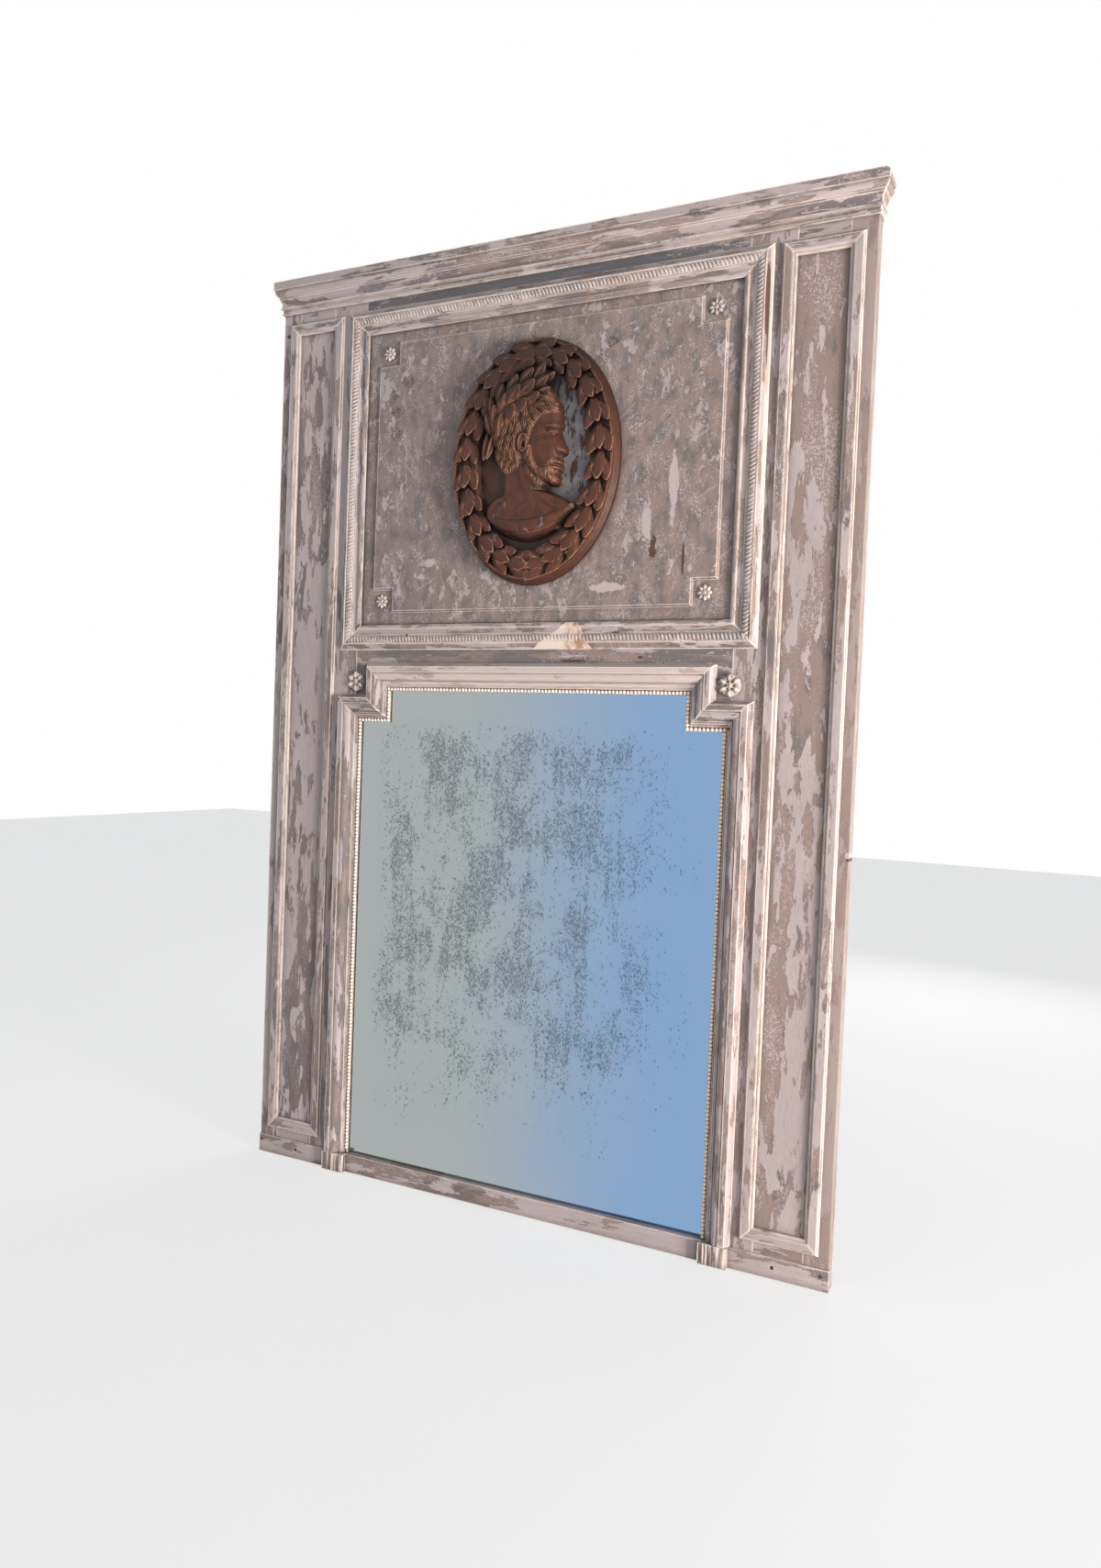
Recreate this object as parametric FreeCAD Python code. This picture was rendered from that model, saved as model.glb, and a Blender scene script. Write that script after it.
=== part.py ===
"""Trumeau mirror: a painted wooden overmantel panel.

A joined carcase of four stiles and seven rails carries two side panels, a fielded
picture panel with an oval carved medallion, and a mirror plate in a moulded frame
with stepped (crossetted) upper corners.

Millimetres. X runs to the right, Z up, and the face of the object looks along -Y.
Heights called h are measured forward from the face of the carcase, the ground.
"""
import FreeCAD, Part
import math
import os
from FreeCAD import Vector

# ---------------------------------------------------------------- carcase
HEIGHT = 2010.0               # bottom edge to the top of the cornice
WIDTH = 1329.0                # across the outer stiles
CARCASE_T = 32.0              # thickness of stiles and rails
OUTER_STILE_W = 47.5
INNER_STILE_W = 88.0
SIDE_PANEL_SIGHT_W = 95.5     # side panel seen between its mouldings
SIDE_TOP_RAIL_H = 123.0
SIDE_BOTTOM_RAIL_H = 88.0
CENTRE_TOP_RAIL_H = 137.5
PICTURE_OPENING_H = 654.0     # between the centre top rail and the mid rail
MID_RAIL_H = 118.0            # above the mirror opening
CENTRE_BOTTOM_RAIL_H = 31.5   # the mirror plate stands on it

# ---------------------------------------------------------------- joints of the carcase
TENON_T = 10.0
TENON_L = 35.0
TENON_FRONT = 11.0            # from the ground back to the tenon's front cheek
TENON_SHOULDER = 16.0         # rail width left above and below a tenon
BOTTOM_TENON_SHOULDER = 5.5   # the same on the low centre bottom rail
MORTISE_PLAY = 0.2            # around the tenon
MORTISE_END_ROOM = 2.0        # beyond the tenon's end

# ---------------------------------------------------------------- panels
PANEL_FRONT = 3.5             # ground back to the panels' front
PANEL_T = 10.0
TONGUE_T = 6.0                # panel edge held in the grooves
TONGUE_L = 8.0
GROOVE_PLAY = 0.2
GROOVE_END_ROOM = 1.0
FIELD_RISE = 5.0              # raised field over the flat of the picture panel
FIELD_BEVEL = 3.5
FIELD_MARGIN_SIDE = 28.0      # flat strip left between picture frame and field
FIELD_MARGIN_TOP = 21.0
FIELD_MARGIN_BOTTOM = 27.0
NOTCH = 50.0                  # square cut out of each corner of the field

# ---------------------------------------------------------------- mirror frame
LAP = 16.0                    # frame lip, and base board, over the mirror plate's edge
LIP_DEPTH = 10.0              # lip behind the ground, down to the mirror plate
LIP_PLAY = 0.3                # between the lip and the carcase opening
STEP_X = 75.0                 # crossette: the lower opening is this much wider each side
STEP_Z = 69.0                 # crossette: height of the narrow upper part
FRAME_FACE_W = 52.0           # sight edge to outer arris
FRAME_H = 15.0                # outer arris over the ground
FRAME_SLOPE = 8.0             # outer arris to the foot of the outer slope
FRAME_OVOLO_IN = 22.5         # sight edge to the near side of the ovolo
FRAME_OVOLO_OUT = 37.0        # sight edge to its far side
FOOT_GAP = 0.8                # open joint under the frame's upright members
BEAD_CORE_R = 2.9             # core left under the row of pearls
BEAD_SEAT_W = 8.2

# ---------------------------------------------------------------- mirror plate and its back
GLASS_T = 5.0
GLASS_PLAY = 1.5              # plate edge to carcase opening
BACKBOARD_T = 7.5
BACKBOARD_REBATE_W = 12.0
BACKBOARD_REBATE_D = 8.0
BACKBOARD_PLAY = 1.0
BACKBOARD_COUNT = 3
BACKBOARD_NAIL_L = 17.5
BLOCK_W = 11.0                # glue blocks that hold the plate forward
BLOCK_L = 60.0
BLOCKS_PER_SIDE = 5
BLOCKS_PER_END = 3

# ---------------------------------------------------------------- picture frame
PICTURE_OVERHANG = 9.5        # frame's inner edge over the carcase opening
PICTURE_FACE_W = 42.0         # inner edge to outer arris
PICTURE_H = 9.5               # arris over the ground
PICTURE_SLOPE = 13.0          # arris to the foot of the outer slope

# ---------------------------------------------------------------- pilaster frames
PILASTER_MOULD_W = 9.0        # small moulding along the side panel
PILASTER_FLAT_W = 14.5
PILASTER_SLOPE = 4.0
PILASTER_H = 6.0

# ---------------------------------------------------------------- cornice
CORNICE_H = 73.0
CORNICE_P = 20.0              # projection, front and sides
CORNICE_FASCIA_H = 18.0
CORNICE_HOLLOW_H = 18.0
CORNICE_OVOLO_H = 12.5

# ---------------------------------------------------------------- base
BASE_H = 40.0
BASE_PROUD = 3.0              # base board in front of the ground
BASE_END = 1.5                # base board beyond the outer stiles
PLINTH_W = 56.0
PLINTH_INSET = 1.0            # mirror sight line to the block's inner side
PLINTH_PROUD = 12.0           # in front of the base board
BASE_NAIL_INSET = 38.5        # from the inner end of the side bottom rail
BASE_NAIL_Z = 21.0
BASE_NAIL_L = 30.0
BASE_NAIL_SUNK = 1.6          # heads driven below the face

# ---------------------------------------------------------------- wrought nails
NAIL_HEAD_W = 7.2             # square head
NAIL_HEAD_T = 1.4
NAIL_SHANK_W = 3.4            # square shank
NAIL_PLAY = 0.1

# ---------------------------------------------------------------- ornaments
CORNER_ROSETTE_R = 16.5
CORNER_ROSETTE_H = 6.0
CORNER_PETALS = 8
ROUND_ROSETTE_R = 24.0
ROUND_ROSETTE_H = 10.0
ROUND_PETALS = 8
ROSETTE_OFF = 4.0             # round rosette clear of the frame's outer foot
MEDALLION_HALF_W = 190.0
MEDALLION_HALF_H = 250.0
MEDALLION_RAISE = 4.5         # centre of the oval over the middle of the field
MEDALLION_RIM_H = 26.0
MEDALLION_RIM_W = 17.0        # outer foot to the wreath's bed
WREATH_W = 42.0
WREATH_BED_H = 19.0           # bed of the wreath over the panel's field
WREATH_H = 13.0               # leaves over their bed
DISH_DEPTH = 9.0              # hollow ground behind the bust, below the bed
DISH_SLOPE = 6.0              # its sloping edge, in plan
LEAF_L = 46.0
LEAF_W = 22.0
LEAF_SPLAY = 12.0             # degrees that each row leans out from the band
LEAVES_PER_SIDE = 15
BUST_H = 54.5                 # highest point of the bust over the panel's field
HEAD_THIRD = 56.0             # hairline to brow, brow to nose, nose to chin
HEAD_FRONT = 68.0             # forehead in front of the medallion's middle
ROBE_HALF_W = 91.0
ROBE_Z = -106.0               # tips of the robe below the medallion's middle
ROBE_DROP = 60.0              # its lower edge below the tips
CROWN_LEAVES = 7
CROWN_LEAF_L = 52.0
CROWN_LEAF_W = 22.0
CROWN_LEAF_H = 9.0

# ---------------------------------------------------------------- hanging plates
PLATE_W = 30.0
PLATE_L = 76.0
PLATE_T = 3.0
PLATE_DROP = 230.0            # its centre below the top of the object
PLATE_HOLE_R = 4.5
PLATE_POCKET_R = 9.0
PLATE_POCKET_D = 14.0
PLATE_NAIL_OFF = 26.0         # nail from the plate's centre
PLATE_NAIL_L = 20.0

# ---------------------------------------------------------------- places worked out from the sizes
OUT_X = WIDTH / 2                                   # outer edge of the outer stiles
SIDE_OUT_X = OUT_X - OUTER_STILE_W                  # side panel opening, outer edge
SIDE_IN_X = SIDE_OUT_X - SIDE_PANEL_SIGHT_W         # side panel opening, inner edge
OPEN_X = SIDE_IN_X - INNER_STILE_W                  # mirror and picture openings
SIDE_TOP_Z = HEIGHT - SIDE_TOP_RAIL_H
PICTURE_TOP_Z = HEIGHT - CENTRE_TOP_RAIL_H
PICTURE_BOTTOM_Z = PICTURE_TOP_Z - PICTURE_OPENING_H
OPEN_TOP_Z = PICTURE_BOTTOM_Z - MID_RAIL_H
SIGHT_X = OPEN_X - LAP                              # mirror sight lines
SIGHT_TOP_Z = OPEN_TOP_Z - LAP
UPPER_SIGHT_X = SIGHT_X - STEP_X
STEP_SIGHT_Z = SIGHT_TOP_Z - STEP_Z
FRAME_W = FRAME_FACE_W + FRAME_SLOPE
PICTURE_W = PICTURE_FACE_W + PICTURE_SLOPE
PICTURE_EDGE_X = OPEN_X - PICTURE_OVERHANG
PICTURE_EDGE_TOP = PICTURE_TOP_Z - PICTURE_OVERHANG
PICTURE_EDGE_BOTTOM = PICTURE_BOTTOM_Z + PICTURE_OVERHANG
PILASTER_W = PILASTER_MOULD_W + PILASTER_FLAT_W + PILASTER_SLOPE
FIELD_H = FIELD_RISE - PANEL_FRONT                  # the raised field's face over the ground
FIELD_X = PICTURE_EDGE_X - FIELD_MARGIN_SIDE
FIELD_TOP = PICTURE_EDGE_TOP - FIELD_MARGIN_TOP
FIELD_BOTTOM = PICTURE_EDGE_BOTTOM + FIELD_MARGIN_BOTTOM
MEDALLION_Z = (FIELD_TOP + FIELD_BOTTOM) / 2 + MEDALLION_RAISE
BASE_NAIL_X = SIDE_IN_X + BASE_NAIL_INSET
PLATE_X = (OPEN_X + SIDE_IN_X) / 2
PLATE_Z = HEIGHT - PLATE_DROP
FRONT_REACH = FIELD_H + BUST_H                      # foremost point of the whole object
GROUND_Y = (FRONT_REACH + CARCASE_T) / 2 - CARCASE_T    # depth centred on Y = 0
BACK_H = -CARCASE_T
X_AXIS = Vector(1, 0, 0)
Z_AXIS = Vector(0, 0, 1)
FORWARD = Vector(0, -1, 0)


# ---------------------------------------------------------------- helpers
def at(x, h, z):
    """A point given by its height h in front of the carcase's face."""
    return Vector(x, GROUND_Y - h, z)


def block(x0, x1, h0, h1, z0, z1):
    """A plain board or cutter between two corners."""
    low = at(min(x0, x1), max(h0, h1), min(z0, z1))
    return Part.makeBox(abs(x1 - x0), abs(h1 - h0), abs(z1 - z0), low)


def rod(radius, length, x, h, z):
    """A round rod that runs back from height h."""
    return Part.makeCylinder(radius, length, at(x, h, z), -FORWARD)


def nail(x, h, z, length, way, play=0.0):
    """A square wrought nail driven from height h; way is -1 towards the back, 1 towards the front."""
    half_head, half_shank = NAIL_HEAD_W / 2 + play, NAIL_SHANK_W / 2 + play
    head = block(x - half_head, x + half_head, h, h + way * NAIL_HEAD_T, z - half_head, z + half_head)
    shank = block(x - half_shank, x + half_shank, h, h + way * (length + play),
                  z - half_shank, z + half_shank)
    return head.fuse(shank)


def stack(rings):
    """A faceted solid through parallel outlines of one shape, each a scaled copy of the last."""
    faces = [Part.Face(Part.makePolygon(ring + ring[:1])) for ring in (rings[0], rings[-1])]
    for low, high in zip(rings, rings[1:]):
        for n in range(len(low)):
            quad = [low[n - 1], low[n], high[n], high[n - 1], low[n - 1]]
            faces.append(Part.Face(Part.makePolygon(quad)))
    solid = Part.Solid(Part.Shell(faces))
    if solid.Volume < 0:
        solid.reverse()
    return solid


def outline(points, place):
    """A closed wire through section points, placed in space.

    A point is (s, h), reached by a straight line, or (s, h, sagitta), reached by an arc
    that swells to the left of its chord.
    """
    edges = []
    here = points[0][:2]
    for step in list(points[1:]) + [points[0][:2]]:
        there = step[:2]
        if len(step) == 3:
            length = math.dist(here, there)
            mid_s = (here[0] + there[0]) / 2 - (there[1] - here[1]) / length * step[2]
            mid_h = (here[1] + there[1]) / 2 + (there[0] - here[0]) / length * step[2]
            arc = Part.Arc(place(*here), place(mid_s, mid_h), place(*there))
            edges.append(arc.toShape())
        else:
            edges.append(Part.makeLine(place(*here), place(*there)))
        here = there
    return Part.Wire(edges)


def moulding(section, start, run, side, up, length, mitre_start, mitre_end):
    """A straight moulding of one section, with square or mitred ends.

    The section's s axis points to the side and its second axis up. A mitre of 1 makes the
    piece longer with growing s, -1 shorter, and 0 leaves the end square.
    """
    reach = max(abs(point[0]) for point in section)
    lows = min(point[0] for point in section)
    tops = [point[1] for point in section]
    spare = reach + 5

    def place(s, h):
        return start + side * s + up * h - run * spare

    bar = Part.Face(outline(section, place)).extrude(run * (length + 2 * spare))
    floor = up * (min(tops) - spare)
    corners = [(lows - 1, 0, mitre_start), (lows - 1, length, mitre_end),
               (reach + 1, length, mitre_end), (reach + 1, 0, mitre_start)]
    plan = []
    for s, t, mitre in corners:
        along = t + mitre * s if t else -mitre * s
        plan.append(start + side * s + run * along + floor)
    plan.append(plan[0])
    prism = Part.Face(Part.makePolygon(plan)).extrude(up * (max(tops) - min(tops) + 2 * spare))
    return bar.common(prism)


def frame_member(section, x0, z0, x1, z1, side_x, side_z, mitre_start, mitre_end):
    """A moulding laid on the ground along a sight line from (x0, z0) to (x1, z1)."""
    start = at(x0, 0, z0)
    line = at(x1, 0, z1) - start
    run = Vector(line).normalize()
    return moulding(section, start, run, Vector(side_x, 0, side_z), FORWARD,
                    line.Length, mitre_start, mitre_end)


def mirrored(shape):
    """The same piece for the other side."""
    return shape.mirror(Vector(0, 0, 0), X_AXIS)


def pair(nodes, name, shape):
    """Store a piece made for the right and its twin for the left."""
    nodes[name + "_right"] = shape
    nodes[name + "_left"] = mirrored(shape)


def one_solid(shape):
    """The single solid held by a boolean result."""
    cleaned = shape.removeSplitter()
    return cleaned.Solids[0] if len(cleaned.Solids) == 1 else cleaned


# ---------------------------------------------------------------- carcase
def tenon(x0, x1, z0, z1, play=0.0):
    """A tenon, or with play the mortise for it."""
    return block(x0, x1, -TENON_FRONT + play, -TENON_FRONT - TENON_T - play, z0 - play, z1 + play)


def groove(x0, x1, z0, z1):
    """A cutter for a panel groove."""
    front = -PANEL_FRONT + GROOVE_PLAY
    back = -PANEL_FRONT - TONGUE_T - GROOVE_PLAY
    return block(x0, x1, front, back, z0, z1)


def base_rebate(x0, x1):
    """A cutter that lets the base board into the foot of the carcase."""
    return block(x0, x1, -LIP_DEPTH, 1, -1, BASE_H)


def backboard_rebate():
    """The shallow recess for the boards behind the mirror."""
    half = OPEN_X + BACKBOARD_REBATE_W
    return block(-half, half, BACK_H - 1, BACK_H + BACKBOARD_REBATE_D,
                 CENTRE_BOTTOM_RAIL_H - BACKBOARD_REBATE_W, OPEN_TOP_Z + BACKBOARD_REBATE_W)


RAILS = {
    # name: (left shoulder, right shoulder, underside, top, shoulder above and below the tenon)
    "side_top_rail": (SIDE_IN_X, SIDE_OUT_X, SIDE_TOP_Z, HEIGHT, TENON_SHOULDER),
    "side_bottom_rail": (SIDE_IN_X, SIDE_OUT_X, 0.0, SIDE_BOTTOM_RAIL_H, TENON_SHOULDER),
    "centre_top_rail": (-OPEN_X, OPEN_X, PICTURE_TOP_Z, HEIGHT, TENON_SHOULDER),
    "mid_rail": (-OPEN_X, OPEN_X, OPEN_TOP_Z, PICTURE_BOTTOM_Z, TENON_SHOULDER),
    "centre_bottom_rail": (-OPEN_X, OPEN_X, 0.0, CENTRE_BOTTOM_RAIL_H, BOTTOM_TENON_SHOULDER),
}


def rail(name):
    """A rail between two stiles, with a tenon at each end."""
    left, right, low, high, shoulder = RAILS[name]
    body = block(left, right, BACK_H, 0, low, high)
    tongue = tenon(left - TENON_L, right + TENON_L, low + shoulder, high - shoulder)
    return body.fuse(tongue)


def mortises(stile_low, stile_high):
    """Cutters for every tenon that enters a stile standing between two X places."""
    cutters = []
    for left, right, low, high, shoulder in RAILS.values():
        z0, z1 = low + shoulder, high - shoulder
        if abs(right - stile_low) < 0.01:
            end = right + TENON_L + MORTISE_END_ROOM
            cutters.append(tenon(right - 1, end, z0, z1, MORTISE_PLAY))
        if abs(left - stile_high) < 0.01:
            end = left - TENON_L - MORTISE_END_ROOM
            cutters.append(tenon(end, left + 1, z0, z1, MORTISE_PLAY))
    return cutters


def plate_seat():
    """Cutters that let the right hanging plate into its stile, with its nails and pocket."""
    seat = block(PLATE_X - PLATE_W / 2, PLATE_X + PLATE_W / 2, BACK_H - 1, BACK_H + PLATE_T,
                 PLATE_Z - PLATE_L / 2, PLATE_Z + PLATE_L / 2)
    pocket = rod(PLATE_POCKET_R, PLATE_T + PLATE_POCKET_D + 1, PLATE_X,
                 BACK_H + PLATE_T + PLATE_POCKET_D, PLATE_Z)
    return [seat, pocket] + right_plate_nails(NAIL_PLAY)


def inner_stile():
    """The stile between mirror and side panel, right hand."""
    stile = block(OPEN_X, SIDE_IN_X, BACK_H, 0, 0, HEIGHT)
    deep = TONGUE_L + GROOVE_END_ROOM
    cutters = mortises(OPEN_X, SIDE_IN_X)
    cutters.append(groove(SIDE_IN_X - deep, SIDE_IN_X + 1, SIDE_BOTTOM_RAIL_H - deep, SIDE_TOP_Z + deep))
    cutters.append(groove(OPEN_X - 1, OPEN_X + deep, PICTURE_BOTTOM_Z - deep, PICTURE_TOP_Z + deep))
    cutters.append(base_rebate(OPEN_X - 1, SIDE_IN_X + 1))
    cutters.append(backboard_rebate())
    cutters += plate_seat()
    cutters += [backboard_nail(x, z, NAIL_PLAY) for x, z in backboard_nail_places() if x > 0]
    return stile.cut(cutters)


def outer_stile():
    """The stile at the outer edge, right hand."""
    stile = block(SIDE_OUT_X, OUT_X, BACK_H, 0, 0, HEIGHT)
    deep = TONGUE_L + GROOVE_END_ROOM
    cutters = mortises(SIDE_OUT_X, OUT_X)
    cutters.append(groove(SIDE_OUT_X - 1, SIDE_OUT_X + deep, SIDE_BOTTOM_RAIL_H - deep, SIDE_TOP_Z + deep))
    cutters.append(base_rebate(SIDE_OUT_X - 1, OUT_X + 1))
    return stile.cut(cutters)


def side_top_rail():
    deep = TONGUE_L + GROOVE_END_ROOM
    return rail("side_top_rail").cut(groove(SIDE_IN_X - 1, SIDE_OUT_X + 1, SIDE_TOP_Z - 1, SIDE_TOP_Z + deep))


def side_bottom_rail():
    """The low rail under a side panel; the base board is let into it and nailed."""
    deep = TONGUE_L + GROOVE_END_ROOM
    top = SIDE_BOTTOM_RAIL_H
    cutters = [groove(SIDE_IN_X - 1, SIDE_OUT_X + 1, top - deep, top + 1),
               base_rebate(SIDE_IN_X - 1, SIDE_OUT_X + 1), nail_hole()]
    return rail("side_bottom_rail").cut(cutters)


def centre_top_rail():
    deep = TONGUE_L + GROOVE_END_ROOM
    return rail("centre_top_rail").cut(
        groove(-OPEN_X - 1, OPEN_X + 1, PICTURE_TOP_Z - 1, PICTURE_TOP_Z + deep))


def mid_rail():
    """The rail over the mirror. Its lower corners run down as brackets under the crossettes."""
    deep = TONGUE_L + GROOVE_END_ROOM
    shape = rail("mid_rail")
    bracket = [at(OPEN_X, 0, OPEN_TOP_Z), at(OPEN_X - STEP_X, 0, OPEN_TOP_Z),
               at(OPEN_X, 0, OPEN_TOP_Z - STEP_Z), at(OPEN_X, 0, OPEN_TOP_Z)]
    wedge = Part.Face(Part.makePolygon(bracket)).extrude(-FORWARD * CARCASE_T)
    shape = shape.fuse([wedge, mirrored(wedge)])
    bottom = PICTURE_BOTTOM_Z
    cutters = [groove(-OPEN_X - 1, OPEN_X + 1, bottom - deep, bottom + 1), backboard_rebate()]
    return one_solid(shape.cut(cutters))


def centre_bottom_rail():
    """The rail that the mirror plate stands on, set back behind the base board."""
    return rail("centre_bottom_rail").cut([base_rebate(-OPEN_X - 1, OPEN_X + 1), backboard_rebate()])


def base_board():
    """The long board across the foot, with a hole for each nail."""
    board = block(-OUT_X - BASE_END, OUT_X + BASE_END, -LIP_DEPTH, BASE_PROUD, 0, BASE_H)
    return board.cut([nail_hole(), mirrored(nail_hole())])


def plinth_block():
    """The upright-grained block under a frame member, right hand."""
    inner = SIGHT_X + PLINTH_INSET
    return block(inner, inner + PLINTH_W, BASE_PROUD, BASE_PROUD + PLINTH_PROUD, 0, BASE_H)


def nail_hole():
    """The hole for the right nail, with the sunk mouth over its head."""
    half = NAIL_HEAD_W / 2 + NAIL_PLAY
    mouth = block(BASE_NAIL_X - half, BASE_NAIL_X + half, BASE_PROUD + 1, BASE_PROUD - BASE_NAIL_SUNK,
                  BASE_NAIL_Z - half, BASE_NAIL_Z + half)
    return mouth.fuse(base_nail(NAIL_PLAY))


def base_nail(play=0.0):
    return nail(BASE_NAIL_X, BASE_PROUD - BASE_NAIL_SUNK, BASE_NAIL_Z, BASE_NAIL_L, -1, play)


def base_nails():
    """Two nails through the base board into the side bottom rails."""
    return Part.makeCompound([base_nail(), mirrored(base_nail())])


# ---------------------------------------------------------------- panels
def tongued_panel(x0, x1, z0, z1):
    """A flat panel for an opening, its edges thinned from behind into tongues."""
    front = -PANEL_FRONT
    tongue = block(x0 - TONGUE_L, x1 + TONGUE_L, front, front - TONGUE_T, z0 - TONGUE_L, z1 + TONGUE_L)
    room = GROOVE_END_ROOM
    return tongue.fuse(block(x0 + room, x1 - room, front, front - PANEL_T, z0 + room, z1 - room))


def side_panel():
    return one_solid(tongued_panel(SIDE_IN_X, SIDE_OUT_X, SIDE_BOTTOM_RAIL_H, SIDE_TOP_Z))


def notched_outline(inset, h):
    """The field's outline with square corners cut out, drawn in by an inset."""
    x = FIELD_X - inset
    low, high = FIELD_BOTTOM + inset, FIELD_TOP - inset
    cut = NOTCH
    corners = [(x - cut, low), (x - cut, low + cut), (x, low + cut), (x, high - cut),
               (x - cut, high - cut), (x - cut, high)]
    right = [at(px, h, pz) for px, pz in corners]
    left = [at(-px, h, pz) for px, pz in reversed(corners)]
    return Part.makePolygon(right + left + right[:1])


def picture_panel():
    """The panel behind the medallion, its raised field notched at the corners."""
    flat = tongued_panel(-OPEN_X, OPEN_X, PICTURE_BOTTOM_Z, PICTURE_TOP_Z)
    foot = notched_outline(0, -PANEL_FRONT)
    face = notched_outline(FIELD_BEVEL, FIELD_H)
    return one_solid(flat.fuse(Part.makeLoft([foot, face], True, True)))


# ---------------------------------------------------------------- frames and mouldings
def mirror_frame_section():
    """From the sight edge: lip, bead, hollow, fillet, ovolo, flat, outer slope."""
    seat = -LIP_DEPTH + 3.0
    bead = seat + 0.3
    inner, outer = FRAME_OVOLO_IN, FRAME_OVOLO_OUT
    middle = BEAD_SEAT_W / 2
    return [(0, -LIP_DEPTH), (0, seat), (middle - BEAD_CORE_R, bead),
            (middle + BEAD_CORE_R, bead, BEAD_CORE_R * 0.95), (BEAD_SEAT_W, seat),
            (BEAD_SEAT_W + 0.4, -3.5), (inner - 8.5, 0.8, -1.1), (inner - 8.2, 2.6),
            (inner - 2.6, 3.2), (inner - 2.0, 1.8), (inner - 0.8, 1.8), (inner, 4.6),
            (outer, FRAME_H - 2.0, 3.0), (outer + 0.7, FRAME_H - 3.2), (outer + 1.8, FRAME_H - 3.2),
            (outer + 2.4, FRAME_H), (FRAME_FACE_W, FRAME_H), (FRAME_W, 0),
            (LAP - LIP_PLAY, 0), (LAP - LIP_PLAY, -LIP_DEPTH)]


def picture_frame_section():
    """From the inner edge: small ovolo, hollow, ribbon bed, arris, outer slope."""
    top = PICTURE_H
    face = PICTURE_FACE_W
    return [(0, 0), (0, 1.8), (9.0, 4.6, 1.5), (9.6, 3.0), (face - 20.0, 4.4, -1.2),
            (face - 19.2, 3.5), (face - 18.2, 3.5), (face - 17.6, 5.0), (face - 2.2, top - 0.7, 1.6),
            (face - 1.6, top), (face, top), (PICTURE_W - 0.6, 0.8), (PICTURE_W, 0)]


def pilaster_section():
    """From the side panel: two small ovolos, a flat, an outer slope."""
    mould = PILASTER_MOULD_W
    top = PILASTER_H
    return [(0, 0), (0, 1.0), (mould * 0.42, top * 0.55, 0.5), (mould * 0.5, top * 0.42),
            (mould * 0.58, top * 0.42), (mould, top, 0.8), (mould + PILASTER_FLAT_W, top), (PILASTER_W, 0)]


def cornice_section():
    """From the underside up: lower lip, flat, bead, hollow, fillet, ovolo, fascia."""
    reach = CORNICE_P
    fascia = CORNICE_H - CORNICE_FASCIA_H
    ovolo = fascia - 2.0 - CORNICE_OVOLO_H
    hollow = ovolo - 5.0 - CORNICE_HOLLOW_H
    return [(0, 0), (reach * 0.16, 0), (reach * 0.24, 1.2), (reach * 0.24, 5.0), (reach * 0.17, 6.0),
            (reach * 0.22, hollow - 4.0), (reach * 0.38, hollow - 3.4), (reach * 0.38, hollow - 0.4),
            (reach * 0.32, hollow), (reach * 0.54, hollow + CORNICE_HOLLOW_H, 2.2),
            (reach * 0.56, ovolo - 0.6), (reach * 0.62, ovolo), (reach * 0.86, ovolo + CORNICE_OVOLO_H, -2.4),
            (reach * 0.84, fascia - 1.0), (reach, fascia - 0.6), (reach, CORNICE_H), (0, CORNICE_H)]


def mirror_frame(nodes):
    """Seven mitred members round the plate; the uprights stand on the plinth blocks."""
    section = mirror_frame_section()
    foot = BASE_H + FOOT_GAP
    nodes["mirror_frame_top"] = frame_member(
        section, -UPPER_SIGHT_X, SIGHT_TOP_Z, UPPER_SIGHT_X, SIGHT_TOP_Z, 0, 1, 1, 1)
    pair(nodes, "mirror_frame_ear_upright", frame_member(
        section, UPPER_SIGHT_X, STEP_SIGHT_Z, UPPER_SIGHT_X, SIGHT_TOP_Z, 1, 0, -1, 1))
    pair(nodes, "mirror_frame_ear", frame_member(
        section, UPPER_SIGHT_X, STEP_SIGHT_Z, SIGHT_X, STEP_SIGHT_Z, 0, 1, -1, 1))
    pair(nodes, "mirror_frame_upright", frame_member(
        section, SIGHT_X, foot, SIGHT_X, STEP_SIGHT_Z, 1, 0, 0, 1))


def picture_frame(nodes):
    """Four mitred members round the fielded panel."""
    section = picture_frame_section()
    x, low, high = PICTURE_EDGE_X, PICTURE_EDGE_BOTTOM, PICTURE_EDGE_TOP
    nodes["picture_frame_top"] = frame_member(section, -x, high, x, high, 0, 1, 1, 1)
    nodes["picture_frame_bottom"] = frame_member(section, -x, low, x, low, 0, -1, 1, 1)
    pair(nodes, "picture_frame_side", frame_member(section, x, low, x, high, 1, 0, 1, 1))


def pilaster_frames(nodes):
    """Four mitred members round each side panel."""
    section = pilaster_section()
    inner, outer = SIDE_IN_X, SIDE_OUT_X
    low, high = SIDE_BOTTOM_RAIL_H, SIDE_TOP_Z
    pair(nodes, "pilaster_frame_inner", frame_member(section, inner, low, inner, high, -1, 0, 1, 1))
    pair(nodes, "pilaster_frame_outer", frame_member(section, outer, low, outer, high, 1, 0, 1, 1))
    pair(nodes, "pilaster_frame_top", frame_member(section, inner, high, outer, high, 0, 1, 1, 1))
    pair(nodes, "pilaster_frame_bottom", frame_member(section, inner, low, outer, low, 0, -1, 1, 1))


def cornice(nodes):
    """A front length and two returns, mitred at the corners."""
    section = cornice_section()
    low = HEIGHT - CORNICE_H
    nodes["cornice_front"] = moulding(
        section, at(-OUT_X, 0, low), X_AXIS, FORWARD, Z_AXIS, 2 * OUT_X, 1, 1)
    pair(nodes, "cornice_return", moulding(
        section, at(OUT_X, BACK_H, low), FORWARD, X_AXIS, Z_AXIS, CARCASE_T, 0, 1))


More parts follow.
